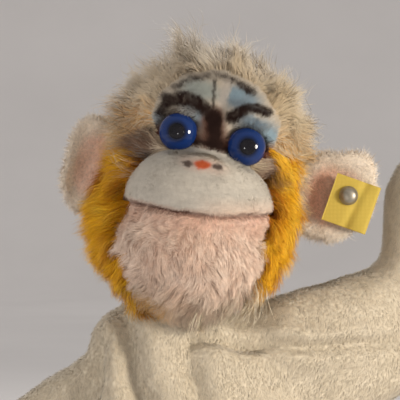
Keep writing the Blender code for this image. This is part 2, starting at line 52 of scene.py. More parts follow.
import bpy
import numpy as np
from mathutils import Vector
from mathutils.bvhtree import BVHTree
from mathutils.kdtree import KDTree

MM = 0.001
JOINTS = {joint["name"]: joint for joint in frame["joints"]}


def joint_mm(name):
    return np.array(JOINTS[name]["pos_m"], float) * 1000.0


# ---------------- numbers
def hashed(i, j, k, seed):
    """A repeatable value in 0..1 for every whole-numbered cell."""
    word = 0xFFFFFFFF
    h = ((i * 73856093) ^ (j * 19349663) ^ (k * 83492791) ^ (seed * 961748927)) & word
    h = ((h ^ (h >> 15)) * 2246822519) & word
    h = ((h ^ (h >> 13)) * 3266489917) & word
    return ((h ^ (h >> 16)) & word) / float(word)


def noise(points, scale, seed):
    """Smooth value noise in -1..1 at points in mm."""
    q = points / scale
    cell = np.floor(q).astype(np.int64)
    f = q - cell
    f = f * f * (3 - 2 * f)
    total = np.zeros(len(points))
    near, (i, j, k) = (1 - f.T, f.T), cell.T
    for a, b, c in itertools.product((0, 1), repeat=3):
        total += near[a][0] * near[b][1] * near[c][2] * hashed(i + a, j + b, k + c, seed)
    return total * 2 - 1


def noise3(points, scale, seed):
    return np.stack([noise(points, scale, seed + k) for k in range(3)], 1)


def unit(v):
    """Rows scaled to length 1."""
    return v / np.maximum(np.linalg.norm(v, axis=-1, keepdims=True), 1e-9)


def smooth(low, high, x):
    """0 at low, 1 at high, with soft ends; low may be the larger one."""
    t = np.clip((x - low) / (high - low), 0, 1)
    return t * t * (3 - 2 * t)


def mix(a, b, w):
    """Row by row from a to b; either may be a single colour or way."""
    return a * (1 - w[:, None]) + b * w[:, None]


# ---------------- head frame
NECK = joint_mm("head_nod")
X_HEAD = unit(np.array(JOINTS["head_nod"]["axis"], float))
Z_HEAD = unit(np.array(JOINTS["ear_flop_l"]["axis"], float))
Y_HEAD = np.cross(Z_HEAD, X_HEAD)
HEAD = np.stack([X_HEAD, Y_HEAD, Z_HEAD])


def to_world(local):
    return local @ HEAD + NECK


def turn_to_world(local):
    return local @ HEAD


# ---------------- mesh making
def build_mesh(name, verts_mm, polys, tint=None, uv=None, normals=None):
    """polys is a list of equal-length index arrays, such as [quads, triangles]."""
    mesh = bpy.data.meshes.new(name)
    mesh.vertices.add(len(verts_mm))
    mesh.vertices.foreach_set("co", (verts_mm * MM).astype(np.float32).ravel())
    loops = np.concatenate([p.ravel() for p in polys]).astype(np.int32)
    sizes = np.concatenate([np.full(len(p), p.shape[1]) for p in polys])
    starts = np.concatenate([[0], np.cumsum(sizes)[:-1]]).astype(np.int32)
    mesh.loops.add(len(loops))
    mesh.loops.foreach_set("vertex_index", loops)
    mesh.polygons.add(len(sizes))
    mesh.polygons.foreach_set("loop_start", starts)
    mesh.polygons.foreach_set("use_smooth", np.full(len(sizes), True))
    if tint is not None:
        layer = mesh.attributes.new("tint", "FLOAT_COLOR", "POINT")
        rgba = np.ones((len(verts_mm), 4), np.float32)
        rgba[:, :3] = tint
        layer.data.foreach_set("color", rgba.ravel())
    if uv is not None:
        layer = mesh.uv_layers.new(name="OFBake")
        layer.data.foreach_set("uv", uv[loops].astype(np.float32).ravel())
    mesh.update(calc_edges=True)
    mesh.validate()
    if normals is not None:
        mesh.normals_split_custom_set_from_vertices(normals.astype(np.float32))
    obj = bpy.data.objects.new(name, mesh)
    bpy.context.scene.collection.objects.link(obj)
    return obj


def vertex_normals(verts, tris):
    a, b, c = verts[tris[:, 0]], verts[tris[:, 1]], verts[tris[:, 2]]
    face = np.cross(b - a, c - a)
    out = np.zeros_like(verts)
    for k in range(3):
        np.add.at(out, tris[:, k], face)
    return unit(out)


def scatter(verts, tris, normals, density, rng):
    """Random points on a triangle mesh, with smooth normals."""
    a, b, c = verts[tris[:, 0]], verts[tris[:, 1]], verts[tris[:, 2]]
    area = np.linalg.norm(np.cross(b - a, c - a), axis=1) / 2
    count = int(area.sum() * density)
    pick = np.searchsorted(np.cumsum(area) / area.sum(), rng.random(count))
    pick = np.minimum(pick, len(tris) - 1)
    u, v = rng.random(count), rng.random(count)
    flip = u + v > 1
    u[flip], v[flip] = 1 - u[flip], 1 - v[flip]
    shares = np.stack([1 - u - v, u, v])[:, :, None]

    def spread(values):
        first, second, third = values[tris[pick].T] * shares
        return first + second + third

    return spread(verts), unit(spread(normals))


def compact(verts, tris, keep, *extras):
    """The kept triangles with only their own vertices."""
    tris = tris[keep]
    used, flat = np.unique(tris.ravel(), return_inverse=True)
    return (verts[used], flat.reshape(-1, 3)) + tuple(e[used] for e in extras)


def ring_grid(rings, spokes, start=0):
    """Corners a, b, above b and above a of every cell between stacked closed rings."""
    row, j = np.divmod(np.arange(rings * spokes), spokes)
    a, b = start + row * spokes + j, start + row * spokes + (j + 1) % spokes
    return a, b, b + spokes, a + spokes


def faces(size, *corners):
    """Index rows of that size from corner arrays, cell by cell."""
    return np.stack(np.broadcast_arrays(*corners), 1).reshape(-1, size)


def dress(obj, material, body, *nodes):
    """Material, body to ride, and the CAD nodes the piece stands for."""
    obj.data.materials.append(material)
    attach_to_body(obj, body)
    if nodes:
        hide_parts(*nodes)


# ---------------- pile and hair
def hair(
    name, roots, normals, comb, length, lean, root_tint, tip_tint, rng, width=0.16, steps=4,
    wave=0.3, clump=0.0, clump_gap=1.6, droop=0.0, curl=0.0, curl_size=4.0, soft=0.65,
    roll_spread=0.5,
):
    """One mesh of tapered hairs. lean 0 stands up along the normal, 1 lies along comb."""
    n = len(roots)
    comb = unit(comb - normals * (comb * normals).sum(1)[:, None])
    lean = np.clip(lean, 0, 1)
    path = [roots]
    heading = []
    phase = rng.random(n) * math.tau
    side = unit(np.cross(normals, comb))
    jitter = rng.normal(0, 1, (n, 3)) * 0.16
    here = roots
    for k in range(steps):
        s = (k + 0.5) / steps
        amount = np.clip(lean * (0.55 + 0.75 * s), 0, 1.0)[:, None]
        way = normals * (1 - amount) + comb * amount
        way = way + jitter * (0.5 + s)
        sway = np.sin(phase + s * 5.0)[:, None] * wave * s
        if curl:
            way = way + noise3(here, curl_size, 907) * (curl * (0.4 + s))
        way = unit(way + side * sway)
        way[:, 2] -= droop * s
        way = unit(way)
        here = here + way * (length / steps)[:, None]
        path.append(here)
        heading.append(way)
    heading.append(heading[-1])
    if clump > 0 and n > 50:
        spacing = max(int(n * 0.02), 8)
        leaders = rng.choice(n, spacing, replace=False)
        tree = KDTree(len(leaders))
        for order, index in enumerate(leaders):
            tree.insert(roots[index], order)
        tree.balance()
        nearest = np.array([tree.find(p)[1] for p in roots])
        lead = leaders[nearest]
        reach = np.linalg.norm(roots[lead] - roots, axis=1)
        strength = clump * smooth(clump_gap * 3.0, 0.0, reach)
        for k in range(1, steps + 1):
            s = k / steps
            pull = (strength * s**1.4)[:, None]
            path[k] = path[k] * (1 - pull) + path[k][lead] * pull
    roll = np.clip(rng.normal(0, roll_spread, n), -1.2, 1.2)
    verts, tints, shading = [], [], []
    for k in range(steps):
        s = k / steps
        across = unit(np.cross(heading[k], normals + 1e-3))
        other = np.cross(heading[k], across)
        flat = across * np.cos(roll)[:, None] + other * np.sin(roll)[:, None]
        half = width * 0.5 * (1 - 0.65 * s)
        half = half * (0.75 + 0.5 * rng.random(n))[:, None]
        verts += [path[k] - flat * half, path[k] + flat * half]
        # colour runs from root_tint to tip_tint; the callers give darker roots, painted shade down
        # among the fibres
        shade = root_tint * (1 - s) + tip_tint * s
        tints += [shade, shade]
        outward = unit(normals - heading[k] * (normals * heading[k]).sum(1)[:, None] + 1e-4)
        facing = unit(outward * (1 - soft) + normals * soft)
        shading += [facing, facing]
    verts.append(path[steps])
    tints.append(tip_tint)
    shading.append(shading[-1])
    per = 2 * steps + 1
    verts = np.stack(verts, 1).reshape(-1, 3)
    shading = np.stack(shading, 1).reshape(-1, 3)
    tints = np.clip(np.stack(tints, 1).reshape(-1, 3), 0.0, 1.0)
    base = np.arange(n)[:, None] * per
    quads = [base + np.array([2 * k, 2 * k + 1, 2 * k + 3, 2 * k + 2]) for k in range(steps - 1)]
    tips = base + np.array([per - 3, per - 2, per - 1])
    polys = [np.concatenate(quads), tips]
    cells = int(math.ceil(math.sqrt(n)))
    cell_x = (np.arange(n) % cells) / cells
    cell_y = (np.arange(n) // cells) / cells
    uv = []
    for k in range(steps):
        v = cell_y + (0.08 + 0.84 * k / steps) / cells
        uv += [np.stack([cell_x + 0.12 / cells, v], 1), np.stack([cell_x + 0.88 / cells, v], 1)]
    uv.append(np.stack([cell_x + 0.5 / cells, cell_y + 0.92 / cells], 1))
    uv = np.stack(uv, 1).reshape(-1, 2)
    return build_mesh(name, verts, polys, tints, uv, normals=shading)


# ---------------- materials
def nodes_of(name):
    material = bpy.data.materials.new(name)
    material.use_nodes = True
    tree = material.node_tree
    return material, tree, tree.nodes["Principled BSDF"]


def add(tree, kind, **values):
    node = tree.nodes.new(kind)
    for key, value in values.items():
        if key in node.inputs:
            node.inputs[key].default_value = value
        else:
            setattr(node, key, value)
    return node


def dial(node, values):
    for key, value in values.items():
        node.inputs[key].default_value = value


def emboss(tree, shader, height, strength, depth_mm):
    relief = add(tree, "ShaderNodeBump", Strength=strength, Distance=depth_mm * MM)
    tree.links.new(height, relief.inputs["Height"])
    tree.links.new(relief.outputs["Normal"], shader.inputs["Normal"])


def speckle(tree, scale, low, high, detail=3.0, stretch=None):
    """A noise between two greys or colours."""
    coords = add(tree, "ShaderNodeTexCoord")
    out = coords.outputs["Object"]
    if stretch is not None:
        mapping = add(tree, "ShaderNodeMapping", Scale=stretch)
        tree.links.new(out, mapping.inputs["Vector"])
        out = mapping.outputs["Vector"]
    grain = add(tree, "ShaderNodeTexNoise", Scale=scale, Detail=detail)
    tree.links.new(out, grain.inputs["Vector"])
    ramp = add(tree, "ShaderNodeValToRGB")
    for element, position, colour in zip(ramp.color_ramp.elements, (0.3, 0.7), (low, high)):
        element.position = position
        element.color = (*colour, 1)
    tree.links.new(grain.outputs["Fac"], ramp.inputs["Fac"])
    return ramp.outputs["Color"], grain.outputs["Fac"]


def tinted(
    name, roughness=0.75, sheen=0.3, bump=0.0, grain_scale=900.0, specular=0.3, vary=(0.82, 1.12)
):
    """Cloth or hair that takes its colour from the mesh's own tint, with a fine grain."""
    material, tree, shader = nodes_of(name)
    tint = add(tree, "ShaderNodeAttribute", attribute_name="tint")
    vary, grain = speckle(tree, grain_scale, (vary[0],) * 3, (vary[1],) * 3)
    product = add(tree, "ShaderNodeMix", data_type="RGBA", blend_type="MULTIPLY", Factor=1.0)
    tree.links.new(tint.outputs["Color"], product.inputs[6])
    tree.links.new(vary, product.inputs[7])
    tree.links.new(product.outputs[2], shader.inputs["Base Color"])
    dial(shader, {"Roughness": roughness, "Specular IOR Level": specular,
                  "Sheen Weight": sheen, "Sheen Roughness": 0.5})
    if bump:
        emboss(tree, shader, grain, 0.6, bump)
    return material


def grained(name, low, high, scale, roughness=0.8, metallic=0.0, bump=0.1, stretch=None):
    """A two-tone grained finish for metal, card, cord, stuffing and paper."""
    material, tree, shader = nodes_of(name)
    colour, grain = speckle(tree, scale, low, high, 4.0, stretch)
    tree.links.new(colour, shader.inputs["Base Color"])
    dial(shader, {"Roughness": roughness, "Metallic": metallic})
    emboss(tree, shader, grain, 0.5, bump)
    return material


def woven(name, low, high, pitch):
    """Crossed threads."""
    material, tree, shader = nodes_of(name)
    coords = add(tree, "ShaderNodeTexCoord")
    waves = []
    for direction in ("X", "Z"):
        wave = add(tree, "ShaderNodeTexWave", Scale=pitch, Distortion=0.6)
        wave.bands_direction = direction
        tree.links.new(coords.outputs["Object"], wave.inputs["Vector"])
        waves.append(wave)
    both = add(tree, "ShaderNodeMath", operation="MULTIPLY")
    for wave, socket in zip(waves, both.inputs):
        tree.links.new(wave.outputs["Fac"], socket)
    ramp = add(tree, "ShaderNodeValToRGB")
    ramp.color_ramp.elements[0].color = (*low, 1)
    ramp.color_ramp.elements[1].color = (*high, 1)
    tree.links.new(both.outputs[0], ramp.inputs["Fac"])
    tree.links.new(ramp.outputs["Color"], shader.inputs["Base Color"])
    dial(shader, {"Roughness": 0.8, "Sheen Weight": 0.2})
    emboss(tree, shader, both.outputs[0], 0.5, 0.08)
    return material


PLUSH_MAT = tinted("plush_pile", roughness=0.9, sheen=0.35, specular=0.15, vary=(0.92, 1.05))
CLOTH_MAT = tinted("pile_backing", roughness=0.95, sheen=0.3, bump=0.25, grain_scale=700.0)
MOHAIR_MAT = tinted("mohair", roughness=0.5, sheen=0.25, specular=0.45)
GOLD_MAT = tinted("gold_mohair", roughness=0.5, sheen=0.06, specular=0.22)
VELVET_MAT = tinted("velvet", roughness=0.95, sheen=0.06, specular=0.05, vary=(0.94, 1.04))
FELT_MAT = tinted("felt", roughness=0.95, sheen=0.35, bump=0.2, grain_scale=1500.0)

# ---------------- head form
# the darker second cream, pink, gold and plush are painted shade at the hair roots and on the
# cloth under the hair
CREAM = np.array([0.70, 0.575, 0.41])
CREAM_ROOT_SHADE = np.array([0.60, 0.47, 0.31])
IVORY = np.array([0.72, 0.62, 0.46])
WHITE = np.array([0.61, 0.565, 0.495])
PINK = np.array([0.82, 0.63, 0.50])
PINK_ROOT_SHADE = np.array([0.72, 0.50, 0.38])
GOLD = np.array([0.88, 0.46, 0.006])
GOLD_ROOT_SHADE = np.array([0.62, 0.26, 0.003])
GOLD_PALE = np.array([0.96, 0.64, 0.06])
TEMPLE_BROWN_SHADE = np.array([0.46, 0.30, 0.15])
PLUSH = np.array([0.68, 0.595, 0.46])
PLUSH_ROOT_SHADE = np.array([0.60, 0.50, 0.355])
BROWN = np.array([0.022, 0.011, 0.009])
RUSSET = np.array([0.13, 0.042, 0.024])
SKY = np.array([0.18, 0.27, 0.345])
SKY_PALE = np.array([0.28, 0.39, 0.46])
AQUA = np.array([0.36, 0.42, 0.40])
BROW_SAND = np.array([0.60, 0.52, 0.42])
RIDGE = np.array([0.60, 0.53, 0.46])
ROSE = np.array([0.66, 0.33, 0.23])
CORAL = np.array([0.56, 0.10, 0.025])
EAR_ROSE = np.array([0.72, 0.40, 0.27])

SIDES = (("l", 1.0), ("r", -1.0))
EYES = (np.array([8.7, -19.8, 45.3]), np.array([-8.7, -19.8, 45.3]))
EYE_RADIUS = 4.9
HEAD_CENTRE = np.array([0.0, -6.0, 33.0])


def ovoid(p, centre, radii):
    q = (p - np.array(centre, float)) / np.array(radii, float)
    k0 = np.linalg.norm(q, axis=1)
    k1 = np.linalg.norm(q / np.array(radii, float), axis=1)
    return k0 * (k0 - 1) / np.maximum(k1, 1e-6)


def join(a, b, k):
    """Union of two distance fields, rounded over k mm."""
    h = np.clip(0.5 + 0.5 * (b - a) / k, 0, 1)
    return b * (1 - h) + a * h - k * h * (1 - h)


def carve(a, b, k):
    return -join(-a, b, k)


def mouth_height(x):
    return 26.3 + 0.12 * x + 0.0055 * x * x


def muzzle_arch(x, z):
    """Below 1 inside the arched upper edge of the white muzzle."""
    return (np.abs(x - 0.3) / 18.9) ** 2.3 + (np.maximum(z - 26.0, 0) / 16.3) ** 2.3


def mask_oval(x, z, wider=0.0):
    """Below 1 inside the oval brow and eye mask."""
    return np.hypot(x / (15.6 + wider), (z - 50.0) / (12.6 + wider))


def chin_oval(x, z, wider=0.0):
    """Below 1 inside the round front of the chin."""
    return np.hypot(x / (17.4 + wider), (z - 18.0) / 20.0)


def head_field(p):
    """Distance to the sewn head's surface, negative inside, in head coordinates."""
    skull = ovoid(p, (0, 0, 43.5), (21.6, 21.2, 22.2))
    chin = ovoid(p, (0, -14.8, 18.4), (18.2, 16.6, 17.2))
    lip = ovoid(p, (0.2, -18.0, 29.6), (18.5, 14.4, 12.9))
    field = join(skull, chin, 4.0)
    field = join(field, lip, 2.4)
    for sign in (1, -1):
        cheek = ovoid(p, (sign * 16.6, -6.5, 26.0), (6.2, 9.5, 15.5))
        field = join(field, cheek, 4.0)
        brow = ovoid(p, (sign * 7.5, -18.6, 52.6), (6.5, 3.4, 2.6))
        field = join(field, brow, 2.5)
        eye = EYES[0] if sign > 0 else EYES[1]
        socket = ovoid(p, eye + np.array([0, -2.4, 0]), (5.7, 3.6, 5.7))
        field = carve(field, socket, 1.6)
    nose = ovoid(p, (-0.9, -27.6, 38.2), (4.2, 2.6, 2.2))
    field = join(field, nose, 3.0)
    neck = np.maximum(np.linalg.norm(p[:, :2], axis=1) - 12.8, 6.5 - p[:, 2])
    field = join(field, np.maximum(neck, p[:, 2] - 30.0), 3.0)
    below_lip = mouth_height(p[:, 0]) - p[:, 2]
    depth = 0.9 * np.exp(-((below_lip - 0.3) ** 2)) * smooth(-8, -16, p[:, 1])
    hollow = 0.7 * smooth(-0.2, 1.2, below_lip) * smooth(9, 3, below_lip)
    field = field + (depth + hollow * smooth(-12, -22, p[:, 1]))
    room = 14.4 - np.linalg.norm(p, axis=1)
    return np.maximum(field, room)


def icosphere(level):
    bpy.ops.mesh.primitive_ico_sphere_add(subdivisions=level, radius=1.0)
    obj = bpy.context.object
    mesh = obj.data
    verts = np.zeros(len(mesh.vertices) * 3)
    mesh.vertices.foreach_get("co", verts)
    tris = np.zeros(len(mesh.polygons) * 3, np.int64)
    mesh.polygons.foreach_get("vertices", tris)
    bpy.data.objects.remove(obj)
    bpy.data.meshes.remove(mesh)
    return unit(verts.reshape(-1, 3)), tris.reshape(-1, 3)


def head_surface():
    """Rays from the middle of the head, stopped at their outermost crossing of the surface."""
    rays, tris = icosphere(7)
    low, high = np.full(len(rays), 0.0), np.full(len(rays), 48.0)
    found = np.zeros(len(rays), bool)
    stride = 0.8
    for reach in np.arange(47.0, 4.0, -stride):
        inside = head_field(HEAD_CENTRE + rays * reach) < 0
        new = inside & ~found
        low[new], high[new] = reach, reach + stride
        found |= inside
    for _ in range(14):
        mid = (low + high) / 2
        inside = head_field(HEAD_CENTRE + rays * mid[:, None]) < 0
        low = np.where(inside, mid, low)
        high = np.where(inside, high, mid)
    return HEAD_CENTRE + rays * low[:, None], tris


def line_gap(x, z, points):
    """Distance in the face plane from each point to a polyline."""
    best = np.full(len(x), 1e9)
    for (x0, z0), (x1, z1) in zip(points, points[1:]):
        dx, dz = x1 - x0, z1 - z0
        t = np.clip(((x - x0) * dx + (z - z0) * dz) / (dx * dx + dz * dz), 0, 1)
        best = np.minimum(best, np.hypot(x - x0 - t * dx, z - z0 - t * dz))
    return best


def blot_at(x, z, cx, cz, rx, rz, soft=0.5):
    return smooth(1 + soft, 1 - soft, np.hypot((x - cx) / rx, (z - cz) / rz))


# colour, strength, then centre x and z and radii of each patch around the eyes
BLUES = (
    (AQUA, 0.75, (-5.6, 56.4, 4.6, 2.8)),
    (SKY, 0.85, (4.9, 56.6, 4.8, 3.2)),
    (SKY_PALE, 0.6, (3.6, 57.4, 1.8, 1.6)),
    (SKY, 0.8, (11.0, 49.8, 5.6, 3.0)),
    (SKY_PALE, 0.75, (13.4, 49.2, 2.2, 1.6)),
    (SKY, 0.6, (8.4, 51.6, 3.2, 1.1)),
    (SKY, 0.65, (-14.0, 47.6, 2.0, 2.4)),
    (SKY, 0.5, (-6.0, 51.4, 3.4, 1.6)),
    (SKY_PALE, 0.7, (-4.2, 48.6, 1.3, 2.6)),
    (RUSSET, 0.45, (-2.6, 46.8, 1.6, 3.0)),
)


def face_paint(p):
    """Airbrushed colour of the front of the face, in head coordinates."""
    wobble = noise3(p, 2.2, 11) * 0.35 + noise3(p, 0.6, 19) * 0.25
    x = p[:, 0] + wobble[:, 0]
    z = p[:, 2] + wobble[:, 2]
    fleck = noise(p, 0.8, 5)
    arch = muzzle_arch(p[:, 0], p[:, 2])
    tint = mix(WHITE, BROW_SAND, smooth(0.97, 1.06, arch))
    above = smooth(0.97, 1.05, arch)

    def blot(*spot):
        return blot_at(x, z, *spot)

    def stroke(points, width, soft=0.6):
        return smooth(width + soft, max(width - soft, 0.0), line_gap(x, z, points))

    def lay(colour, amount):
        nonlocal tint
        tint = mix(tint, colour, np.clip(amount, 0, 1))

    for colour, amount, patch in BLUES:
        lay(colour, amount * blot(*patch))
    for sign in (1, -1):
        around = np.hypot(x - sign * EYES[0][0], z - EYES[0][2])
        lay(BROWN, 0.8 * smooth(6.3, 5.3, around) * above)
        below = smooth(1.5, -1.5, z - EYES[0][2]) * above
        lay(RUSSET, 0.8 * smooth(7.8, 5.8, around) * below)
    lay(RIDGE, 0.7 * stroke([(0.6, 60), (0.7, 53.5)], 1.2))
    lay(BROWN, 0.9 * stroke([(-2.7, 59.6), (-2.1, 56), (-1.5, 53)], 0.35, 0.35))
    forehead = [(-11.9, 56.0), (-8, 59.2), (-3.5, 61.2), (1.7, 61.0), (6.8, 59.4)]
    lay(BROWN, (0.62 + 0.5 * fleck) * stroke(forehead, 0.85, 0.7))
    lay(BROWN, (0.8 + 0.3 * fleck) * stroke([(4.2, 60.2), (7.4, 59.0)], 0.8, 0.6))
    lay(RUSSET, 0.85 * stroke([(-0.7, 50), (0.3, 47), (0.7, 43.4)], 2.9, 1.2) * above)
    lay(BROWN, 0.98 * stroke([(-0.9, 50.4), (-0.2, 48), (0.9, 44.2)], 1.9, 0.8) * above)
    lay(BROWN, 0.9 * stroke([(-3.0, 43.4), (0.8, 43.6), (4.0, 42.9)], 1.0, 0.7) * above)
    brow_r = [(-13.7, 49.9), (-12.5, 51.9), (-9.3, 53.5), (-5.7, 53.1), (-2.3, 51.6), (-0.5, 49.6)]
    brow_l = [(3.5, 51.3), (4.6, 52.4), (7.1, 54.2), (9.4, 55.0), (11.7, 54.8)]
    lay(BROWN, (0.98 + 0.12 * fleck) * stroke(brow_r, 1.6, 0.7))
    lay(BROWN, (0.98 + 0.12 * fleck) * stroke(brow_l, 1.5, 0.5))
    lay(BROWN, 0.8 * blot(-13.6, 53.2, 1.2, 1.0))
    lay(BROWN, 0.9 * blot(-14.8, 44.6, 1.3, 1.5))
    lay(RUSSET, 0.75 * blot(-14.2, 41.4, 2.2, 2.2) * above)
    lay(RUSSET, 0.85 * blot(14.9, 43.4, 1.7, 3.6) * above)
    lay(BROWN, 0.6 * blot(14.4, 42.2, 1.0, 2.4) * above)
    lay(ROSE, 0.35 * blot(-0.9, 38.4, 4.8, 1.7, 0.8))
    lay(BROWN * 2.2, 0.85 * blot(-4.4, 38.0, 1.25, 0.75, 0.4))
    lay(BROWN * 2.2, 0.85 * blot(2.6, 38.7, 1.25, 0.75, 0.4))
    lay(CORAL, 0.95 * blot(-0.9, 38.4, 1.95, 1.25, 0.3))
    under = mouth_height(x) - z
    lay(ROSE, 0.45 * smooth(-1.6, 0.0, under) * smooth(19.5, 15.0, np.abs(x)))
    lay(PINK, 0.6 * smooth(-5.5, -0.5, under) * smooth(-3.0, 6.0, x))
    ink = (0.55 + 0.5 * noise(p, 3.0, 29)) * smooth(19.8, 18.0, np.abs(x))
    ink = np.clip(ink + 0.35 * smooth(2, -6, x) * smooth(-18, -13, x), 0, 0.95)
    lay(RUSSET * 0.6, ink * smooth(0.75, 0.3, np.abs(under)))
    return tint


HEAD_VERTS, HEAD_TRIS = head_surface()
HEAD_NORMALS = vertex_normals(HEAD_VERTS, HEAD_TRIS)
if (HEAD_NORMALS * (HEAD_VERTS - HEAD_CENTRE)).sum() < 0:
    HEAD_TRIS = HEAD_TRIS[:, ::-1]
    HEAD_NORMALS = -HEAD_NORMALS

REGIONS = ("crown", "mask", "muzzle", "chin", "cheek_l", "cheek_r")


def region_of(p):
    """Which sewn panel a head point belongs to, as an index into REGIONS."""
    x, y, z = p.T
    edge = noise(p, 3.0, 23) * 0.7
    out = np.zeros(len(p), int)
    out[(mask_oval(x, z, edge) < 1) & (y < -6)] = 1
    out[(y < -6.5) & (muzzle_arch(x, z) < 1) & (z >= mouth_height(x)) & (y < -11)] = 2
    low = (z < mouth_height(x)) & (y < -2)
    out[low & ((chin_oval(x, z, edge) < 1) | (y < -20))] = 3
    free = ~((out == 2) | (out == 3)) & (np.abs(x) > 14.5)
    out[free & (x > 0) & (y > -20) & (y < -5.0 + edge) & (z < 46.5 + edge) & (z > 12)] = 4
    out[free & (x < 0) & (y > -20) & (y < 0.5 + edge) & (z < 40 + edge) & (z > 4)] = 5
    jowl = chin_oval(x, z) > 0.86 + 0.02 * edge
    out[jowl & (x < -4) & (z < 13) & (z > 1) & (y < -4)] = 5
    return out


FACE_REGION = region_of(HEAD_VERTS[HEAD_TRIS].mean(1))


def base_tint(region, p):
    """Colour of the cloth under the hair; under the mohair it is darker than the hair, painted
    shade at the roots.
    """
    patch = noise(p, 6.0, 31)[:, None] * 0.05
    if region == "crown":
        return CREAM_ROOT_SHADE * 0.9 + patch
    if region in ("mask", "muzzle"):
        return face_paint(p)
    if region == "chin":
        lip = smooth(2.4, 0.2, np.abs(p[:, 2] - mouth_height(p[:, 0])))
        front = smooth(-14.0, -20.0, p[:, 1])
        return mix(PINK_ROOT_SHADE + patch, RUSSET, 0.6 * lip * front)
    return GOLD_ROOT_SHADE + patch * 0.5


SKINS = {
    "crown": ("crown_cloth", "crown_cover", CLOTH_MAT),
    "mask": ("brow_mask_cloth", "face_mask", VELVET_MAT),
    "muzzle": ("muzzle_cloth", "muzzle_cover", VELVET_MAT),
    "chin": ("chin_cloth", "chin_cover", CLOTH_MAT),
    "cheek_l": ("cheek_cloth_l", "cheek_l", CLOTH_MAT),
    "cheek_r": ("cheek_cloth_r", "cheek_r", CLOTH_MAT),
}
for order, region in enumerate(REGIONS):
    name, node, material = SKINS[region]
    verts, tris, norms = compact(HEAD_VERTS, HEAD_TRIS, FACE_REGION == order, HEAD_NORMALS)
    skin = build_mesh(name, to_world(verts), [tris], base_tint(region, verts))
    dress(skin, material, "head", node)


def head_patch(regions, density, seed):
    """Random roots on the named panels, clear of the eyes, and the generator that drew them."""
    rng = np.random.default_rng(seed)
    keep = np.isin(FACE_REGION, [REGIONS.index(r) for r in regions])
    spots, norms = scatter(HEAD_VERTS, HEAD_TRIS[keep], HEAD_NORMALS, density, rng)
    clear = np.ones(len(spots), bool)
    for eye in EYES:
        reach = np.linalg.norm((spots - eye)[:, [0, 2]], axis=1)
        clear &= (reach > EYE_RADIUS - 0.3) | (spots[:, 1] > -5)
    return spots[clear], norms[clear], rng


def smudge(p, tint):
    """Paint that runs off the mask onto the long hair beside the eyes."""
    x, y, z = p.T
    front = smooth(-1, -7, y)
    red = np.maximum(blot_at(x, z, -15.0, 40.0, 3.6, 3.2), blot_at(x, z, 14.4, 40.6, 3.0, 3.2))
    tint = mix(tint, RUSSET, 0.8 * front * red)
    return mix(tint, BROWN, 0.8 * front * blot_at(x, z, -15.6, 44.2, 1.9, 1.8))


def head_hair(name, spots, norms, comb, *looks, material=MOHAIR_MAT, body="head", **shape):
    """Hair from head coordinates, with its material, on its body."""
    points, ways = to_world(spots), (turn_to_world(norms), turn_to_world(comb))
    dress(hair(name, points, *ways, *looks, **shape), material, body)


# crown: long cream mohair combed away from the face
spots, norms, rng = head_patch(["crown"], 11.0, 101)
x, y, z = spots.T
comb = spots - np.array([0.0, -24.0, 49.0]) + np.array([0, 4.0, -3.0])
comb[:, 2] -= np.where(x > 0, 3.0, 12.0) * smooth(10, 22, np.abs(x))
comb[:, 2] += 8.0 * smooth(55, 64, z)
comb = unit(comb) * 0.85 + noise3(spots, 9.0, 41) * 0.75 + noise3(spots, 3.2, 45) * 0.35
comb = comb + rng.normal(0, 0.16, spots.shape)
hairline = smooth(5.0, 0.0, mask_oval(x, z) * 14 - 14) * smooth(-4, -10, y)
length = 9.0 + 2.5 * noise(spots, 5.0, 43) + rng.normal(0, 1.0, len(spots))
length *= 1 - 0.35 * hairline
over_cheek = smooth(50, 45, z) * smooth(-2, -8, y) * smooth(12, 16, x)
length *= 1 - 0.5 * over_cheek
length *= 1 + 0.5 * (rng.random(len(spots)) < 0.05)
length *= 1 - 0.3 * smooth(24, 16, z)
jaw = smooth(16, 11, z) * smooth(5, 11, x) * smooth(8, -2, y)
comb = mix(comb, np.array([-0.3, -0.35, -1.0]) + 0.2 * noise3(spots, 3.0, 49), jaw)
length *= 1 + 1.0 * jaw
tufts = np.zeros(len(spots))
for tuft_x, tuft_z, gap in ((-9.5, 66.0, 5.0), (4.0, 66.5, 2.0), (-22.5, 55.0, 3.0)):
    tufts = np.maximum(tufts, smooth(gap, gap * 0.4, np.hypot(x - tuft_x, z - tuft_z)))
tufts *= smooth(12, 2, y) * rng.random(len(spots)) ** 0.6
length = length + 9.0 * tufts
lean = 0.62 + 0.2 * noise(spots, 6.0, 47) + rng.normal(0, 0.12, len(spots)) - 0.5 * tufts
shade = noise(spots, 4.0, 53)
strand = rng.normal(0, 0.035, (len(spots), 1)) + 0.12 * (rng.random((len(spots), 1)) < 0.05)
# roots darker than tips, varying in patches: painted shade down among the fibres
root = mix(CREAM_ROOT_SHADE, CREAM, smooth(-1.2, 0.4, shade)) + strand
tip = mix(CREAM, IVORY, 0.8 * smooth(-0.5, 0.7, shade)) + strand
root = mix(root, IVORY, 0.7 * jaw)
gilt = smooth(54, 47, z) * smooth(13, 17, np.abs(x)) * smooth(4, -3, y)
gilt *= smooth(20, 30, z) * (rng.random(len(spots)) < 0.55)
root = mix(root, GOLD_ROOT_SHADE, 0.8 * gilt)
tip = mix(tip, GOLD, 0.6 * gilt)
# a brown tone on the -x temple, the side away from the key lamp: partly brownish fur, partly
# painted shade
temple_brown_shade = smooth(50, 42, z) * smooth(-11, -15, x) * smooth(0, -6, y)
temple_brown_shade = 0.5 * temple_brown_shade * smooth(26, 34, z)
root = mix(root, TEMPLE_BROWN_SHADE, temple_brown_shade)
tip = mix(tip, TEMPLE_BROWN_SHADE, temple_brown_shade)
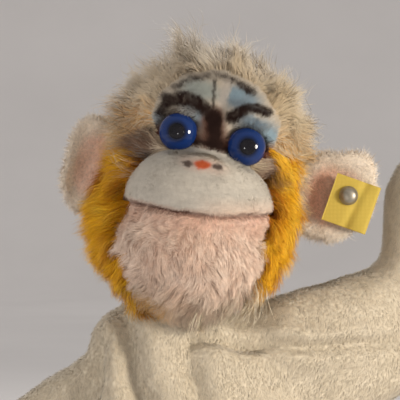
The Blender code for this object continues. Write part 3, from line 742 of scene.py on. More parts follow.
# painted light and shade across the crown: the +x side, which faces the key lamp, is darkened and
# warmed and the -x side lightened, evening out the key light
sunny = smooth(-6, 14, x)[:, None]
shading = 1.07 - sunny * np.array([0.17, 0.2, 0.27])
root, tip = smudge(spots, root * shading), smudge(spots, tip * shading)
order = np.argsort(np.arctan2(x, -y))
fields = (spots, norms, comb, np.maximum(length, 3.0), lean, root, tip)
for number, index in enumerate(np.array_split(order, 3)):
    head_hair(
        f"crown_mohair_{number + 1}", *(f[index] for f in fields), rng, width=0.115, wave=0.5,
        clump=0.35, soft=0.75, curl=0.75, curl_size=4.5, droop=0.9 * jaw[index],
    )

# chin: pale pink mohair flowing down and outwards from the mouth
spots, norms, rng = head_patch(["chin"], 14.4, 202)
x, y, z = spots.T
comb = spots - np.array([3.5, -34.0, 29.0])
comb[:, 2] -= 6.0
comb = unit(comb) + noise3(spots, 6.0, 61) * 0.6 + rng.normal(0, 0.12, spots.shape)
fringe = smooth(0.72, 0.92, chin_oval(x, z)) * smooth(-1, 5, x) * smooth(15, 9, z)
fringe *= rng.random(len(spots)) < 0.16
under_lip = mouth_height(x) - z
length = 4.8 + 1.1 * noise(spots, 4.0, 63) + rng.normal(0, 0.6, len(spots))
length *= 1 - 0.7 * smooth(11.0, 0.5, under_lip)
length += 3.6 * smooth(9, 1, z) * (0.5 + rng.random(len(spots)))
length += 6.0 * fringe
comb = mix(unit(comb), np.array([-0.9, -0.3, -0.5]) + 0.25 * noise3(spots, 4.0, 65), fringe)
lean = 0.78 + 0.12 * noise(spots, 3.5, 67) + rng.normal(0, 0.07, len(spots))
shade = noise(spots, 3.0, 69)
strand = rng.normal(0, 0.05, (len(spots), 1))
# roots darker than tips: painted shade down among the fibres
root = mix(PINK_ROOT_SHADE, PINK, smooth(-0.5, 0.9, shade)) + strand
tip = mix(PINK, np.array([0.90, 0.73, 0.60]), smooth(-0.6, 0.6, shade))
ivory_amount = smooth(10, 3, z) * 0.7 * (rng.random(len(spots)) < 0.5)
tip = mix(tip, IVORY * 1.15, ivory_amount) + strand
blush = 0.55 * smooth(6.0, 0.5, under_lip + 1.5 * noise(spots, 4.0, 70))
blush *= 0.45 + 0.55 * smooth(-10, 4, x)
root = mix(root, ROSE, blush)
tip = mix(tip, ROSE * 1.1, blush * 0.8)
ink = 0.75 * smooth(1.0, 0.2, under_lip) * smooth(0.9, 0.4, rng.random(len(spots)))
root = mix(root, RUSSET, ink)
tip = mix(tip, RUSSET, ink)
shaded = 1 - 0.3 * smooth(13, 4, z)[:, None] * np.array([0.9, 1.0, 1.15])
root, tip = root * shaded, tip * shaded
straw = smooth(7.5, 3.0, z) * smooth(2.0, -3.5, x)
straw *= rng.random(len(spots)) < 0.75
tip = mix(tip, IVORY * 1.2, fringe)
root = mix(root, IVORY, 0.7 * fringe)
root = mix(root, GOLD_ROOT_SHADE, 0.85 * straw)
tip = mix(tip, GOLD * 0.8, 0.75 * straw)
head_hair(
    "chin_mohair", spots, norms, comb, np.maximum(length, 1.0), lean, root, tip, rng, width=0.1,
    wave=0.4, clump=0.6, clump_gap=2.0, curl=0.7, curl_size=4.5, soft=0.75,
)

# pale wisps along the jaw and a lock below the chin
spots, norms, rng = head_patch(["chin", "crown", "cheek_l"], 9.0, 207)
x, y, z = spots.T
jaw_line = line_gap(x, z, [(18.6, 14.0), (17.2, 9.0), (14.6, 5.0)])
wisp = smooth(1.9, 0.8, jaw_line) * smooth(3, -3, y) * (rng.random(len(x)) < 0.4)
lock = smooth(1.7, 1.1, np.hypot(x - 6.2, z - 3.4)) * (y < -4)
keep = wisp + lock > 0.3
spots, norms, lock = spots[keep], norms[keep], lock[keep]
comb = mix(np.array([-1.0, -0.35, -0.6]), np.array([0.3, -0.3, -1.0]), lock)
length = (13.0 - 4.5 * lock) * (0.75 + 0.45 * rng.random(len(spots)))
strand = rng.normal(0, 0.04, (len(spots), 1))
# roots a little darker than tips: painted shade among the fibres
head_hair(
    "chin_wisps", spots, norms, comb, length, 0.66 + 0.06 * lock, IVORY * 1.15 + strand,
    IVORY * 1.3 + strand, rng, width=0.17, steps=6, wave=0.5, clump=0.9, curl=0.35,
    curl_size=4.5, soft=0.8, droop=0.2,
)

# cheeks: golden mohair
for side, sign in SIDES:
    spots, norms, rng = head_patch(["cheek_" + side], 15.0, 303 + int(sign))
    x, y, z = spots.T
    spread = 0.25 if side == "l" else 0.8
    comb = np.tile([sign * spread, -0.12, -0.85], (len(spots), 1))
    if side == "r":
        comb[:, 0] += 1.15 * smooth(12, 4, z)
    comb = comb + noise3(spots, 4.5, 71) * 0.45 + rng.normal(0, 0.14, spots.shape)
    length = 7.2 + 1.8 * noise(spots, 3.5, 73) + rng.normal(0, 0.9, len(spots))
    if side == "r":
        length += 1.6 * smooth(34, 24, z) * smooth(8, 16, z)
    lean = 0.62 + 0.16 * noise(spots, 4.0, 77) + rng.normal(0, 0.08, len(spots))
    shade = noise(spots, 2.6, 79)
    strand = rng.normal(0, 0.05, (len(spots), 1)) * np.array([1.0, 0.8, 0.15])
    # roots darker than tips: painted shade down among the fibres; the roots darken further towards
    # the top of the cheek
    root = mix(GOLD_ROOT_SHADE, GOLD, smooth(-0.6, 0.7, shade)) + strand
    tip = mix(GOLD, GOLD_PALE, smooth(-0.2, 0.9, shade)) + strand
    root = smudge(spots, mix(root, GOLD_ROOT_SHADE, smooth(30, 42, z) * 0.35))
    head_hair(
        "cheek_mohair_" + side, spots, norms, comb, np.maximum(length, 3.0), lean, root,
        smudge(spots, tip), rng, width=0.11, wave=0.4, clump=0.6, curl=0.5, curl_size=3.5,
        material=GOLD_MAT,
    )

# face: short velvet pile, painted; beside the nose it laps over the eye rims
LAPS = ((0, -0.75, -0.66, 1.7), (0, 0.72, 0.70, 1.0), (1, 0.80, -0.60, 1.7), (1, -0.1, 1.0, 1.2))
for region, density, tall, seed in (("mask", 24.0, 1.1, 404), ("muzzle", 30.0, 0.6, 405)):
    spots, norms, rng = head_patch([region], density, seed)
    comb = unit(spots - np.array([0.0, -24.0, 42.0]))
    comb = comb + noise3(spots, 4.0, 81) * 0.6 + rng.normal(0, 0.2, spots.shape)
    length = tall * (1 + 0.25 * noise(spots, 2.0, 83)) + rng.normal(0, 0.12, len(spots))
    lean = 0.62 + rng.normal(0, 0.08, len(spots))
    for which, side_x, side_z, extra in LAPS:
        gap = spots - EYES[which]
        reach = np.hypot(gap[:, 0], gap[:, 2])
        facing = (gap[:, 0] * side_x + gap[:, 2] * side_z) / reach
        lap = smooth(EYE_RADIUS + 1.6, EYE_RADIUS + 0.3, reach) * smooth(0.35, 0.8, facing)
        comb = mix(comb, unit(-gap * np.array([1.0, 0.0, 1.0])), 0.85 * lap)
        length += extra * lap * (0.7 + 0.5 * rng.random(len(spots)))
        lean = lean * (1 - lap) + 0.42 * lap
    # the roots are a little darker than the painted tips: painted shade among the fibres
    paint = face_paint(spots)
    strand = rng.normal(0, 0.015, (len(spots), 1))
    head_hair(
        region + "_pile", spots, norms, comb, np.maximum(length, 0.35), lean,
        np.clip(paint * 0.94, 0, 1) + strand * paint, paint + strand * paint * 3, rng,
        width=0.13, steps=2, wave=0.1, soft=0.95, roll_spread=0.15, material=VELVET_MAT,
    )


# ---------------- eyes
def dome(name, centre, radius, yaw, rings=28, spokes=48, cut=0.62, tint_of=None):
    """The front of a round dome, closed behind, in head coordinates."""
    depth = 4.0
    verts = []
    polars = np.repeat(math.pi * cut * np.arange(rings + 1) / rings, spokes)
    tint = None if tint_of is None else tint_of(np.append(polars, math.pi * cut))
    for i in range(rings + 1):
        polar = math.pi * cut * i / rings
        for j in range(spokes):
            around = math.tau * j / spokes
            verts.append((
                radius * math.sin(polar) * math.cos(around),
                -depth * math.cos(polar),
                radius * math.sin(polar) * math.sin(around),
            ))
    verts.append((0.0, -depth * math.cos(math.pi * cut), 0.0))
    a, b, c, d = ring_grid(rings, spokes)
    rim_a, rim_b, _, _ = ring_grid(1, spokes, rings * spokes)
    tris = np.concatenate([faces(3, a, b, c, a, c, d), faces(3, rim_a, rim_b, len(verts) - 1)])
    x, y, z = np.array(verts).T
    c, s = math.cos(yaw), math.sin(yaw)
    verts = np.stack([x * c - y * s, x * s + y * c, z], 1)
    return build_mesh(name, to_world(verts + centre), [tris], tint)


IRIS = np.array([0.006, 0.026, 0.125])


def iris_tint(polar):
    """Blue glass that darkens into the pupil and again at the rim."""
    lit = smooth(0.36, 0.74, polar) * (1 - 0.45 * smooth(1.1, 1.5, polar))
    return mix(IRIS * 0.08, IRIS, lit)


BLUE_MAT = tinted("blue_glass", 0.08, 0.0, 0.0, 260.0, 0.4, (0.93, 1.06))
BLACK_MAT, tree, shader = nodes_of("black_glass")
colour, _ = speckle(tree, 260.0, (0.004, 0.004, 0.006), (0.010, 0.009, 0.012))
tree.links.new(colour, shader.inputs["Base Color"])
dial(shader, {"Roughness": 0.09, "Coat Weight": 0.0, "Coat Roughness": 0.03,
              "Specular IOR Level": 0.28})
for (side, sign), eye in zip(SIDES, EYES):
    yaw = sign * math.radians(5.0)
    ball = dome("eye_dome_" + side, eye, EYE_RADIUS, yaw, tint_of=iris_tint)
    dress(ball, BLUE_MAT, "head", "eye_" + side)
    before_ball = eye + np.array([sign * 0.03, -0.12, 0.0])
    pupil = dome("pupil_dome_" + side, before_ball, EYE_RADIUS * 0.99, yaw, 10, 40, 0.128)
    dress(pupil, BLACK_MAT, "head", "pupil_" + side)


# ---------------- stuffing
def stuffing():
    """A coarser, lumpy head surface two millimetres below the skin."""
    rays, tris = icosphere(5)
    tree = KDTree(len(HEAD_VERTS))
    for index, way in enumerate(unit(HEAD_VERTS - HEAD_CENTRE)):
        tree.insert(way, index)
    tree.balance()
    near = HEAD_VERTS[[tree.find(ray)[1] for ray in rays]]
    lumps = noise(near, 3.0, 91)[:, None] * 0.25
    reach = np.linalg.norm(near - HEAD_CENTRE, axis=1)[:, None]
    neck = 2.6 * smooth(9.0, 0.0, near[:, 2])[:, None]
    return HEAD_CENTRE + rays * (reach - 2.0 - neck + lumps), tris


core_verts, core_tris = stuffing()
core = build_mesh("wood_wool_core", to_world(core_verts), [core_tris])
WOOL_LOW, WOOL_HIGH = (0.42, 0.28, 0.13), (0.72, 0.55, 0.32)
wood_wool = grained("wood_wool", WOOL_LOW, WOOL_HIGH, 420.0, 0.9, bump=0.5, stretch=(1, 3, 1))
dress(core, wood_wool, "head", "head_core")

# ---------------- ears
HINGES = {side: (joint_mm("ear_flop_" + side) - NECK) @ HEAD.T for side in ("l", "r")}
EAR_HALF = {"l": (10.4, 11.2), "r": (7.6, 11.9)}


def ear_shape(side, u, v):
    """Points on the ear's middle surface, from unit-disc coordinates."""
    sign = 1.0 if side == "l" else -1.0
    hinge = HINGES[side]
    corners, narrow = (0.10, 0.0) if side == "l" else (0.15, 1.1)
    r2 = u * u + v * v
    square = 1 + corners * np.abs(np.sin(2 * np.arctan2(v, u))) * r2
    x = EAR_HALF[side][0] * (1.0 + u * square) - narrow * (1 + u)
    z = EAR_HALF[side][1] * v * square
    y = 0.9 - 2.6 * r2 * smooth(-1.0, 0.6, u)
    y = y + 0.5 * np.sin(v * 4.0 + sign) * smooth(-0.4, 1.0, u)
    y = y + 0.25 * np.sin(u * 7.0 + v * 3.0)
    if side == "l":
        y = y - 3.8 * smooth(0.45, 1.0, v)
        z = z + 3.2 * smooth(-0.2, 0.9, u) * smooth(0.1, 1.0, v)
        x = x - 3.4 * smooth(0.1, -1.0, v) * smooth(-0.4, 1.0, u)
    else:
        y = y - 1.2 * smooth(0.5, 1.0, v) - 1.6 * smooth(0.45, 1.0, u)
        x = x - 0.9 * smooth(-0.4, -1.0, v) * smooth(-0.2, 0.8, u)
    return np.stack([hinge[0] + sign * x, hinge[1] + y, hinge[2] + z], 1)


def sheet(name, side, front, back, scale, tint_of, rings=26, spokes=96):
    """A felt layer between two offsets, with a rounded rim."""
    u, v = [], []
    for i in range(1, rings + 1):
        r = scale * (i / rings) ** 0.8
        around = np.linspace(0, math.tau, spokes, endpoint=False)
        edge = r * (1 + 0.012 * np.sin(around * 9 + 1.3) * (i / rings) ** 4)
        u.append(edge * np.cos(around))
        v.append(edge * np.sin(around))
    u, v = np.concatenate(u), np.concatenate(v)
    half = (back - front) / 2
    middle = (back + front) / 2
    r = np.hypot(u, v) / scale
    round_off = np.sqrt(np.clip(1 - np.clip((r - 0.9) / 0.1, 0, 1) ** 2, 0.0, 1)) * 0.9 + 0.1
    face, centre = ear_shape(side, u, v), ear_shape(side, np.zeros(1), np.zeros(1))
    verts = np.concatenate([face, face, centre, centre])
    count = len(u)
    verts[:count, 1] += middle - half * round_off
    verts[count:-2, 1] += middle + half * round_off
    verts[-2:, 1] += [middle - half, middle + half]
    a, b, c, d = ring_grid(rings - 1, spokes)
    quads = faces(4, a, b, c, d, a + count, d + count, c + count, b + count)
    a, b, _, _ = ring_grid(1, spokes)
    tris = faces(3, 2 * count, b, a, 2 * count + 1, a + count, b + count)
    a, b, _, _ = ring_grid(1, spokes, (rings - 1) * spokes)
    quads = np.concatenate([quads, faces(4, a, b, b + count, a + count)])
    if side == "r":
        quads, tris = quads[:, ::-1], tris[:, ::-1]
    tint = tint_of(np.concatenate([u, u, [0, 0]]), np.concatenate([v, v, [0, 0]]), verts)
    return build_mesh(name, to_world(verts), [quads, tris], tint)


EAR_SAND = np.array([0.66, 0.55, 0.43])
EAR_PINK = np.array([0.84, 0.62, 0.50])
EAR_CREAM = np.array([0.80, 0.715, 0.60])


def lining_tint(u, v, verts):
    base = EAR_PINK + 0.04 * noise(verts, 2.5, 97)[:, None]
    # rose towards the ear's root, in its inner hollow by the head: the lining's rose colour with
    # painted shade
    root_rose_shade = smooth(0.3, -0.6, u) * 0.95
    base = mix(base, EAR_ROSE, root_rose_shade)
    edge = np.hypot(u, v) + 0.06 * noise(verts, 1.5, 96)
    return mix(base, EAR_CREAM, 0.92 * smooth(0.5, 0.84, edge))


def back_tint(u, v, verts):
    base = EAR_SAND + 0.05 * noise(verts, 2.0, 98)[:, None]
    return mix(base, EAR_SAND * 1.25, smooth(0.8, 1.0, np.hypot(u, v)))


for side, sign in SIDES:
    body = "ear_" + side
    front = sheet("ear_lining_" + side, side, -1.05, -0.05, 0.95, lining_tint)
    dress(front, FELT_MAT, body, "ear_front_" + side)
    back = sheet("ear_felt_back_" + side, side, 0.0, 1.1, 1.0, back_tint)
    dress(back, FELT_MAT, body, "ear_back_" + side)
    # short loose fibres over both faces and along the rim
    rng = np.random.default_rng(510 + int(sign))
    count = 12000
    r = np.sqrt(rng.random(count)) * 0.99
    r[: count // 3] = rng.uniform(0.9, 1.0, count // 3)
    around = rng.random(count) * math.tau
    u, v = r * np.cos(around), r * np.sin(around)
    on_front = rng.random(count) < 0.6
    roots = ear_shape(side, u, v)
    roots[:, 1] += np.where(on_front, -0.95, 1.0) * smooth(1.02, 0.93, r)
    normals = np.stack([0 * r, np.where(on_front, -1.0, 1.0), 0 * r], 1)
    outward = np.stack([sign * np.cos(around), 0 * r, np.sin(around)], 1)
    rim = smooth(0.9, 1.0, r)
    normals = unit(mix(normals, outward, rim))
    comb = outward + noise3(roots, 1.5, 99) * 0.8 + rng.normal(0, 0.4, roots.shape)
    tint = np.where(on_front[:, None], lining_tint(u, v, roots), back_tint(u, v, roots)) * 1.08
    length = np.abs(rng.normal(1.2, 0.35, count)) * (1 + 0.7 * rim)
    lean = 0.6 + rng.normal(0, 0.15, count)
    head_hair(
        "ear_fibres_" + side, roots, normals, comb, length, lean, tint, tint * 1.1, rng,
        width=0.11, steps=2, wave=0.2, soft=0.8, material=FELT_MAT, body=body,
    )

# ---------------- stud and ribbon
STUD = (joint_mm("tag_swing") - NECK) @ HEAD.T


def lathe(profile, spokes=64):
    """Profile of (radius, height) swept about the local Y axis."""
    verts = []
    for radius, height in profile:
        for j in range(spokes):
            around = math.tau * j / spokes
            verts.append((radius * math.cos(around), height, radius * math.sin(around)))
    return np.array(verts), faces(4, *ring_grid(len(profile) - 1, spokes))


profile = [
    (0.01, -6.5), (0.7, -6.46), (1.3, -6.32), (1.75, -6.1), (2.05, -5.8), (2.2, -5.45),
    (2.36, -5.3), (2.5, -5.16), (2.5, -4.98), (2.4, -4.86), (2.1, -4.8), (0.9, -4.78),
    (0.75, -4.5), (0.7, 2.3), (0.7, 2.6), (1.7, 2.65), (1.8, 2.75), (1.7, 2.85), (0.01, 2.9),
]
stud_verts, stud_quads = lathe(profile)
stud = build_mesh("ear_stud", to_world(stud_verts + STUD), [stud_quads])
NICKEL = grained("worn_nickel", (0.22, 0.20, 0.16), (0.44, 0.40, 0.33), 420.0, 0.42, 0.85, 0.08)
dress(stud, NICKEL, "ear_l", "ear_button")

# the ribbon: one leaf in front of the ear, round the fold at its edge, one leaf behind
turn = math.radians(-7.0)
rows, cols = 40, 30
PLY_GAP, FOLD_AT = 0.62, 6.4
path = [(-4.6 + 11.0 * k / cols, -PLY_GAP) for k in range(cols + 1)]
for k in range(1, 12):
    angle = math.pi * k / 12
    path.append((FOLD_AT + 1.0 * math.sin(angle), -PLY_GAP * math.cos(angle)))
path += [(FOLD_AT - 10.2 * k / cols, PLY_GAP) for k in range(cols + 1)]
px, py = np.repeat(np.array(path), rows + 1, axis=0).T
pz = np.tile(-8.2 + 12.9 * np.arange(rows + 1) / rows, len(path))
bow = 0.25 * np.sin(pz * 0.35 + 0.6) * smooth(-2, 7, px)
bow += 0.55 * np.exp(-(((px - 2.9 - 0.12 * pz) / 1.1) ** 2))
bow -= 0.35 * smooth(4.0, 7.0, px) * smooth(0.0, 6.0, pz)
gape = 1.1 * smooth(-2.0, -8.0, pz) * smooth(0.0, 6.0, px)
c, s = math.cos(turn), math.sin(turn)
flat = np.stack([px * c - pz * s, py * (1 + gape) + bow - 0.1, px * s + pz * c], 1)
count, stride = len(flat), rows + 1
grid = np.arange(count).reshape(len(path), stride)
a, b, c, d = grid[:-1, :-1], grid[:-1, 1:], grid[1:, 1:], grid[1:, :-1]
quads = np.stack([a, b, c, d], 2).reshape(-1, 4)
norms = vertex_normals(flat, np.concatenate([quads[:, :3], quads[:, [0, 2, 3]]]))
thick = np.concatenate([flat + norms * 0.14, flat - norms * 0.14])
a, b, c, d = grid[:-1, 0], grid[1:, 0], grid[1:, -1], grid[:-1, -1]
rim = [faces(4, a, b, b + count, a + count, c, d, d + count, c + count)]
for edge in (grid[0], grid[-1]):
    rim.append(faces(4, edge[:-1], edge[1:], edge[1:] + count, edge[:-1] + count))
polys = np.concatenate([quads, quads[:, ::-1] + count, *rim])
ribbon_at = STUD + np.array([0.0, -3.75, 0.0])
ribbon = build_mesh("ear_ribbon", to_world(thick + ribbon_at), [polys])
yellow = woven("yellow_ribbon", (0.50, 0.36, 0.05), (0.64, 0.47, 0.085), 900.0)
dress(ribbon, yellow, "tag", "ear_tag")

# ---------------- sleeve form
NECK_TOP = np.array([0.0, 0.0, 150.0])
SHOULDERS = {"l": joint_mm("shoulder_swing_l"), "r": joint_mm("shoulder_swing_r")}
ELBOWS = {"l": joint_mm("elbow_wave_l"), "r": joint_mm("elbow_wave_r")}
HAND_WAYS = {
    side: np.array([math.cos(math.radians(angle)), 0.0, math.sin(math.radians(angle))])
    for side, angle in (("l", 84), ("r", 235))
}
MITTEN = 30.0  # from the elbow to the middle of the rounded end
CLOTH_THICK = 1.6
# height, half width, half depth and shoulder slope of the torso
SECTIONS = np.array([
    (-3.0, 48.0, 33.4, 0.00), (0.0, 48.0, 33.4, 0.00), (25.0, 46.5, 31.0, 0.00),
    (60.0, 43.0, 28.5, 0.03), (90.0, 38.5, 25.5, 0.12), (112.0, 34.5, 22.5, 0.20),
    (128.0, 30.0, 19.5, 0.20), (139.0, 23.0, 17.0, 0.12), (147.0, 16.2, 16.2, 0.00),
    (150.5, 12.0, 12.0, 0.00),
])


def closed_shell(rings, cap_low, cap_high):
    """Vertices and triangles of stacked rings of equal length, closed by two points."""
    spokes = len(rings[0])
    verts = np.concatenate(list(rings) + [cap_low[None], cap_high[None]])
    a, b, c, d = ring_grid(len(rings) - 1, spokes)
    j, after, _, _ = ring_grid(1, spokes)
    low, high, top = len(verts) - 2, len(verts) - 1, (len(rings) - 1) * spokes
    caps = faces(3, low, after, j, high, top + j, top + after)
    return verts, np.concatenate([faces(3, a, b, c, a, c, d), caps])


def torso_shell():
    around = np.linspace(0, math.tau, 72, endpoint=False)
    rings = []
    for z in np.linspace(SECTIONS[0, 0], SECTIONS[-1, 0], 60):
        a, b, s = (np.interp(z, SECTIONS[:, 0], SECTIONS[:, k]) for k in (1, 2, 3))
        x = a * np.cos(around)
        rings.append(np.stack([x, b * np.sin(around), z + s * x], 1))
    return closed_shell(rings, np.array([0, 0, -3.0]), np.array([0, 0, 151.5]))


def tube_shell(points, radii, flat):
    """A rounded tube through points, flattened across Y, with hemispherical ends."""
    points = np.array(points, float)
    ways = unit(np.gradient(points, axis=0))
    around = np.linspace(0, math.tau, 36, endpoint=False)
    rings = []
    for point, way, radius in zip(points, ways, radii):
        side = unit(np.array([0, 1.0, 0]) - way * way[1])
        other = np.cross(way, side)
        circle = np.cos(around)[:, None] * side * flat + np.sin(around)[:, None] * other
        rings.append(point + radius * circle)
    return closed_shell(rings, points[0] - ways[0] * 0.2, points[-1] + ways[-1] * 0.2)


def arm_path(side):
    """Centres and radii along an arm, from inside the shoulder to the mitten's round end."""
    shoulder, elbow, way = SHOULDERS[side], ELBOWS[side], HAND_WAYS[side]
    tip = elbow + way * MITTEN
    arm = unit(elbow - shoulder)
    span = np.linalg.norm(elbow - shoulder)
    line = np.array([
        shoulder - arm * 6.0, shoulder, shoulder + arm * 8, elbow - arm * span * 0.35,
        elbow - arm * 5.0, elbow + way * 4.0, elbow + way * 12.0, elbow + way * 20.0, tip,
    ])
    radii = [9.0, 13.2, 13.0, 12.8, 12.6, 12.0, 11.2, 11.6, 12.0]
    knots, steps = np.arange(len(line)), np.linspace(0, len(line) - 1, 34)
    points = np.stack([np.interp(steps, knots, line[:, k]) for k in range(3)], 1)
    for _ in range(4):
        points[1:-1] = (points[:-2] + 2 * points[1:-1] + points[2:]) / 4
    radii = list(np.interp(steps, knots, radii))
    points = list(points)
    for k in range(1, 8):
        angle = math.pi / 2 * k / 7.3
        points.append(tip + way * 12.0 * math.sin(angle))
        radii.append(12.0 * math.cos(angle))
    return points, radii


# loose cloth that hangs under the raised arm and slopes from the neck over the lowered one
DRAPES = {
    "l": (np.array([32.0, 0.0, 120.0]), np.array([57.0, 8.0, 133.5]), 9.6),
    "r": (np.array([-9.5, 0.0, 140.4]), np.array([-38.0, -1.0, 120.4]), 9.2),
}
shells = [torso_shell()]
for side in ("l", "r"):
    points, radii = arm_path(side)
    shells.append(tube_shell(points, radii, 0.86))
    begin, end, radius = DRAPES[side]
    line = [begin + (end - begin) * k / 10 for k in range(11)]
    way = unit(end - begin)
    caps = [0.5 * math.pi * k / 7 for k in range(1, 7)]
    head = [begin - way * radius * math.sin(a) for a in reversed(caps)]
    tail = [end + way * radius * math.sin(a) for a in caps]
    ends = [radius * math.cos(a) for a in caps]
    shells.append(tube_shell(head + line + tail, ends[::-1] + [radius] * 11 + ends, 0.95))
offsets = np.cumsum([0] + [len(verts) for verts, _ in shells])
all_tris = [tris + offset for (_, tris), offset in zip(shells, offsets)]
form = build_mesh(
    "sleeve_form", np.concatenate([verts for verts, _ in shells]), [np.concatenate(all_tris)]
)


def evaluated(obj):
    """Turns the object's modifiers into its own mesh."""
    bpy.context.view_layer.update()
    graph = bpy.context.evaluated_depsgraph_get()
    mesh = bpy.data.meshes.new_from_object(obj.evaluated_get(graph))
    obj.modifiers.clear()
    old = obj.data
    obj.data = mesh
    bpy.data.meshes.remove(old)


def mesh_arrays(obj):
    mesh = obj.data
    mesh.calc_loop_triangles()
    verts = np.zeros(len(mesh.vertices) * 3)
    mesh.vertices.foreach_get("co", verts)
    tris = np.zeros(len(mesh.loop_triangles) * 3, np.int64)
    mesh.loop_triangles.foreach_get("vertices", tris)
    return verts.reshape(-1, 3) / MM, tris.reshape(-1, 3)


remesh = form.modifiers.new("union", "REMESH")
remesh.mode = "VOXEL"
remesh.voxel_size = 3.0 * MM
evaluated(form)
relax = form.modifiers.new("relax", "SMOOTH")
relax.factor = 0.5
relax.iterations = 8
evaluated(form)
before = mesh_arrays(form)[0]

cloth = form.modifiers.new("cloth", "CLOTH")
CLOTH = {
    "quality": 5, "mass": 0.15, "tension_stiffness": 12, "compression_stiffness": 12,
    "shear_stiffness": 6, "bending_stiffness": 0.6, "use_pressure": True,
    "uniform_pressure_force": 3.0, "shrink_min": -0.07,
}
for key, value in CLOTH.items():
    setattr(cloth.settings, key, value)
cloth.settings.effector_weights.gravity = 0.0
cloth.collision_settings.use_collision = False
for number in range(1, 15):
    bpy.context.scene.frame_set(number)
evaluated(form)
bpy.context.scene.frame_set(1)
move = mesh_arrays(form)[0] - before
far = np.linalg.norm(move, axis=1, keepdims=True)
furthest = 2.6
move = move * np.minimum(1.0, furthest / np.maximum(far, 1e-6))
form.data.vertices.foreach_set("co", ((before + move) * MM).astype(np.float32).ravel())
form.data.update()
finer = form.modifiers.new("finer", "SUBSURF")
finer.levels = 1
evaluated(form)
SLEEVE, SLEEVE_TRIS = mesh_arrays(form)
bpy.data.objects.remove(form)
SLEEVE_NORMALS = vertex_normals(SLEEVE, SLEEVE_TRIS)


# folds drawn in by the neck tie and across the arms: line in the front view, width, depth
FOLDS = [
    ([(-12.6, 149.0), (-11.0, 142.4), (-9.3, 133.0), (-6.0, 124.0), (-3.0, 108.0)], 2.6, 3.4),
    ([(3.4, 143.0), (5.4, 135.0), (8.4, 125.0), (11.0, 106.0)], 2.6, 2.4),
    ([(5.0, 143.5), (18.0, 142.4), (38.0, 141.6), (60.0, 143.0)], 1.5, 2.6),
    ([(-30.0, 112.0), (-24.0, 98.0), (-20.0, 76.0)], 3.0, 1.8),
    ([(38.0, 112.0), (32.0, 98.0), (29.0, 78.0)], 3.2, 1.8),
    ([(24.0, 120.0), (20.0, 100.0)], 3.4, 1.2),
    ([(-6.0, 60.0), (-9.0, 30.0), (-8.0, 4.0)], 5.0, 1.6),
    ([(16.0, 70.0), (19.0, 36.0), (18.0, 4.0)], 5.0, 1.6),
]


def fold_depth(p):
    x, z = p[:, 0], p[:, 2]
    wobble = noise3(p, 9.0, 120) * 1.2
    total = np.zeros(len(p))
    for points, width, depth in FOLDS:
        gap = line_gap(x + wobble[:, 0], z + wobble[:, 2], points)
        total -= depth * np.exp(-((gap / width) ** 2))
        total += 0.35 * depth * np.exp(-(((gap - 2.0 * width) / (1.3 * width)) ** 2))
    return total


front = smooth(3.0, -5.0, SLEEVE[:, 1])
back = smooth(-3.0, 5.0, SLEEVE[:, 1])
mirrored = SLEEVE * np.array([-1.0, 1.0, 1.0]) + np.array([3.0, 0, 2.0])
relief = fold_depth(SLEEVE) * front + fold_depth(mirrored) * back * 0.8
relief += 0.45 * noise(SLEEVE, 11.0, 131) + 0.2 * noise(SLEEVE, 4.5, 133)
around = np.arctan2(SLEEVE[:, 0], -SLEEVE[:, 1])
gather = smooth(128, 146, SLEEVE[:, 2]) * smooth(26, 16, np.hypot(SLEEVE[:, 0], SLEEVE[:, 1]))
relief += gather * 0.3 * np.sin(around * 11 + 2.0 * noise(SLEEVE, 14.0, 137))
SLEEVE = SLEEVE + SLEEVE_NORMALS * relief[:, None]
SLEEVE_NORMALS = vertex_normals(SLEEVE, SLEEVE_TRIS)


# ---------------- sleeve zones
def torso_gap(p):
    """Roughly how far a point lies outside the torso."""
    z = p[:, 2].copy()
    for _ in range(3):
        z = p[:, 2] - np.interp(z, SECTIONS[:, 0], SECTIONS[:, 3]) * p[:, 0]
    a = np.interp(z, SECTIONS[:, 0], SECTIONS[:, 1])
    b = np.interp(z, SECTIONS[:, 0], SECTIONS[:, 2])
    q = np.hypot(p[:, 0] / a, p[:, 1] / b)
    return (q - 1) * np.hypot(p[:, 0], p[:, 1]) / np.maximum(q, 1e-6)


def segment_gap(p, a, b):
    """How far a point lies from the line between a and b."""
    ab = b - a
    t = np.clip(((p - a) @ ab) / (ab @ ab), 0, 1)
    return np.linalg.norm(p - a - t[:, None] * ab, axis=1)


# where each bend zone between two bodies starts, which way it runs and how long it is
ARM_WAY = unit(ELBOWS["l"] - SHOULDERS["l"])
ELBOW_WAY = unit(np.array([0.621, 0.191, 0.760]))
BENDS = {
    "shoulder_l": (SHOULDERS["l"] + ARM_WAY * 6.0, ARM_WAY, 13.0),
    "elbow_l": (ELBOWS["l"] - ELBOW_WAY * 9.0, ELBOW_WAY, 19.0),
    "shoulder_r": (np.array([-36.5, 0.0, 97.6]), unit(np.array([-1.0, 0.0, -0.35])), 11.0),
    "elbow_r": (np.array([-46.0, 0.0, 90.0]), unit(np.array([-0.8, 0.0, -0.6])), 14.0),
}


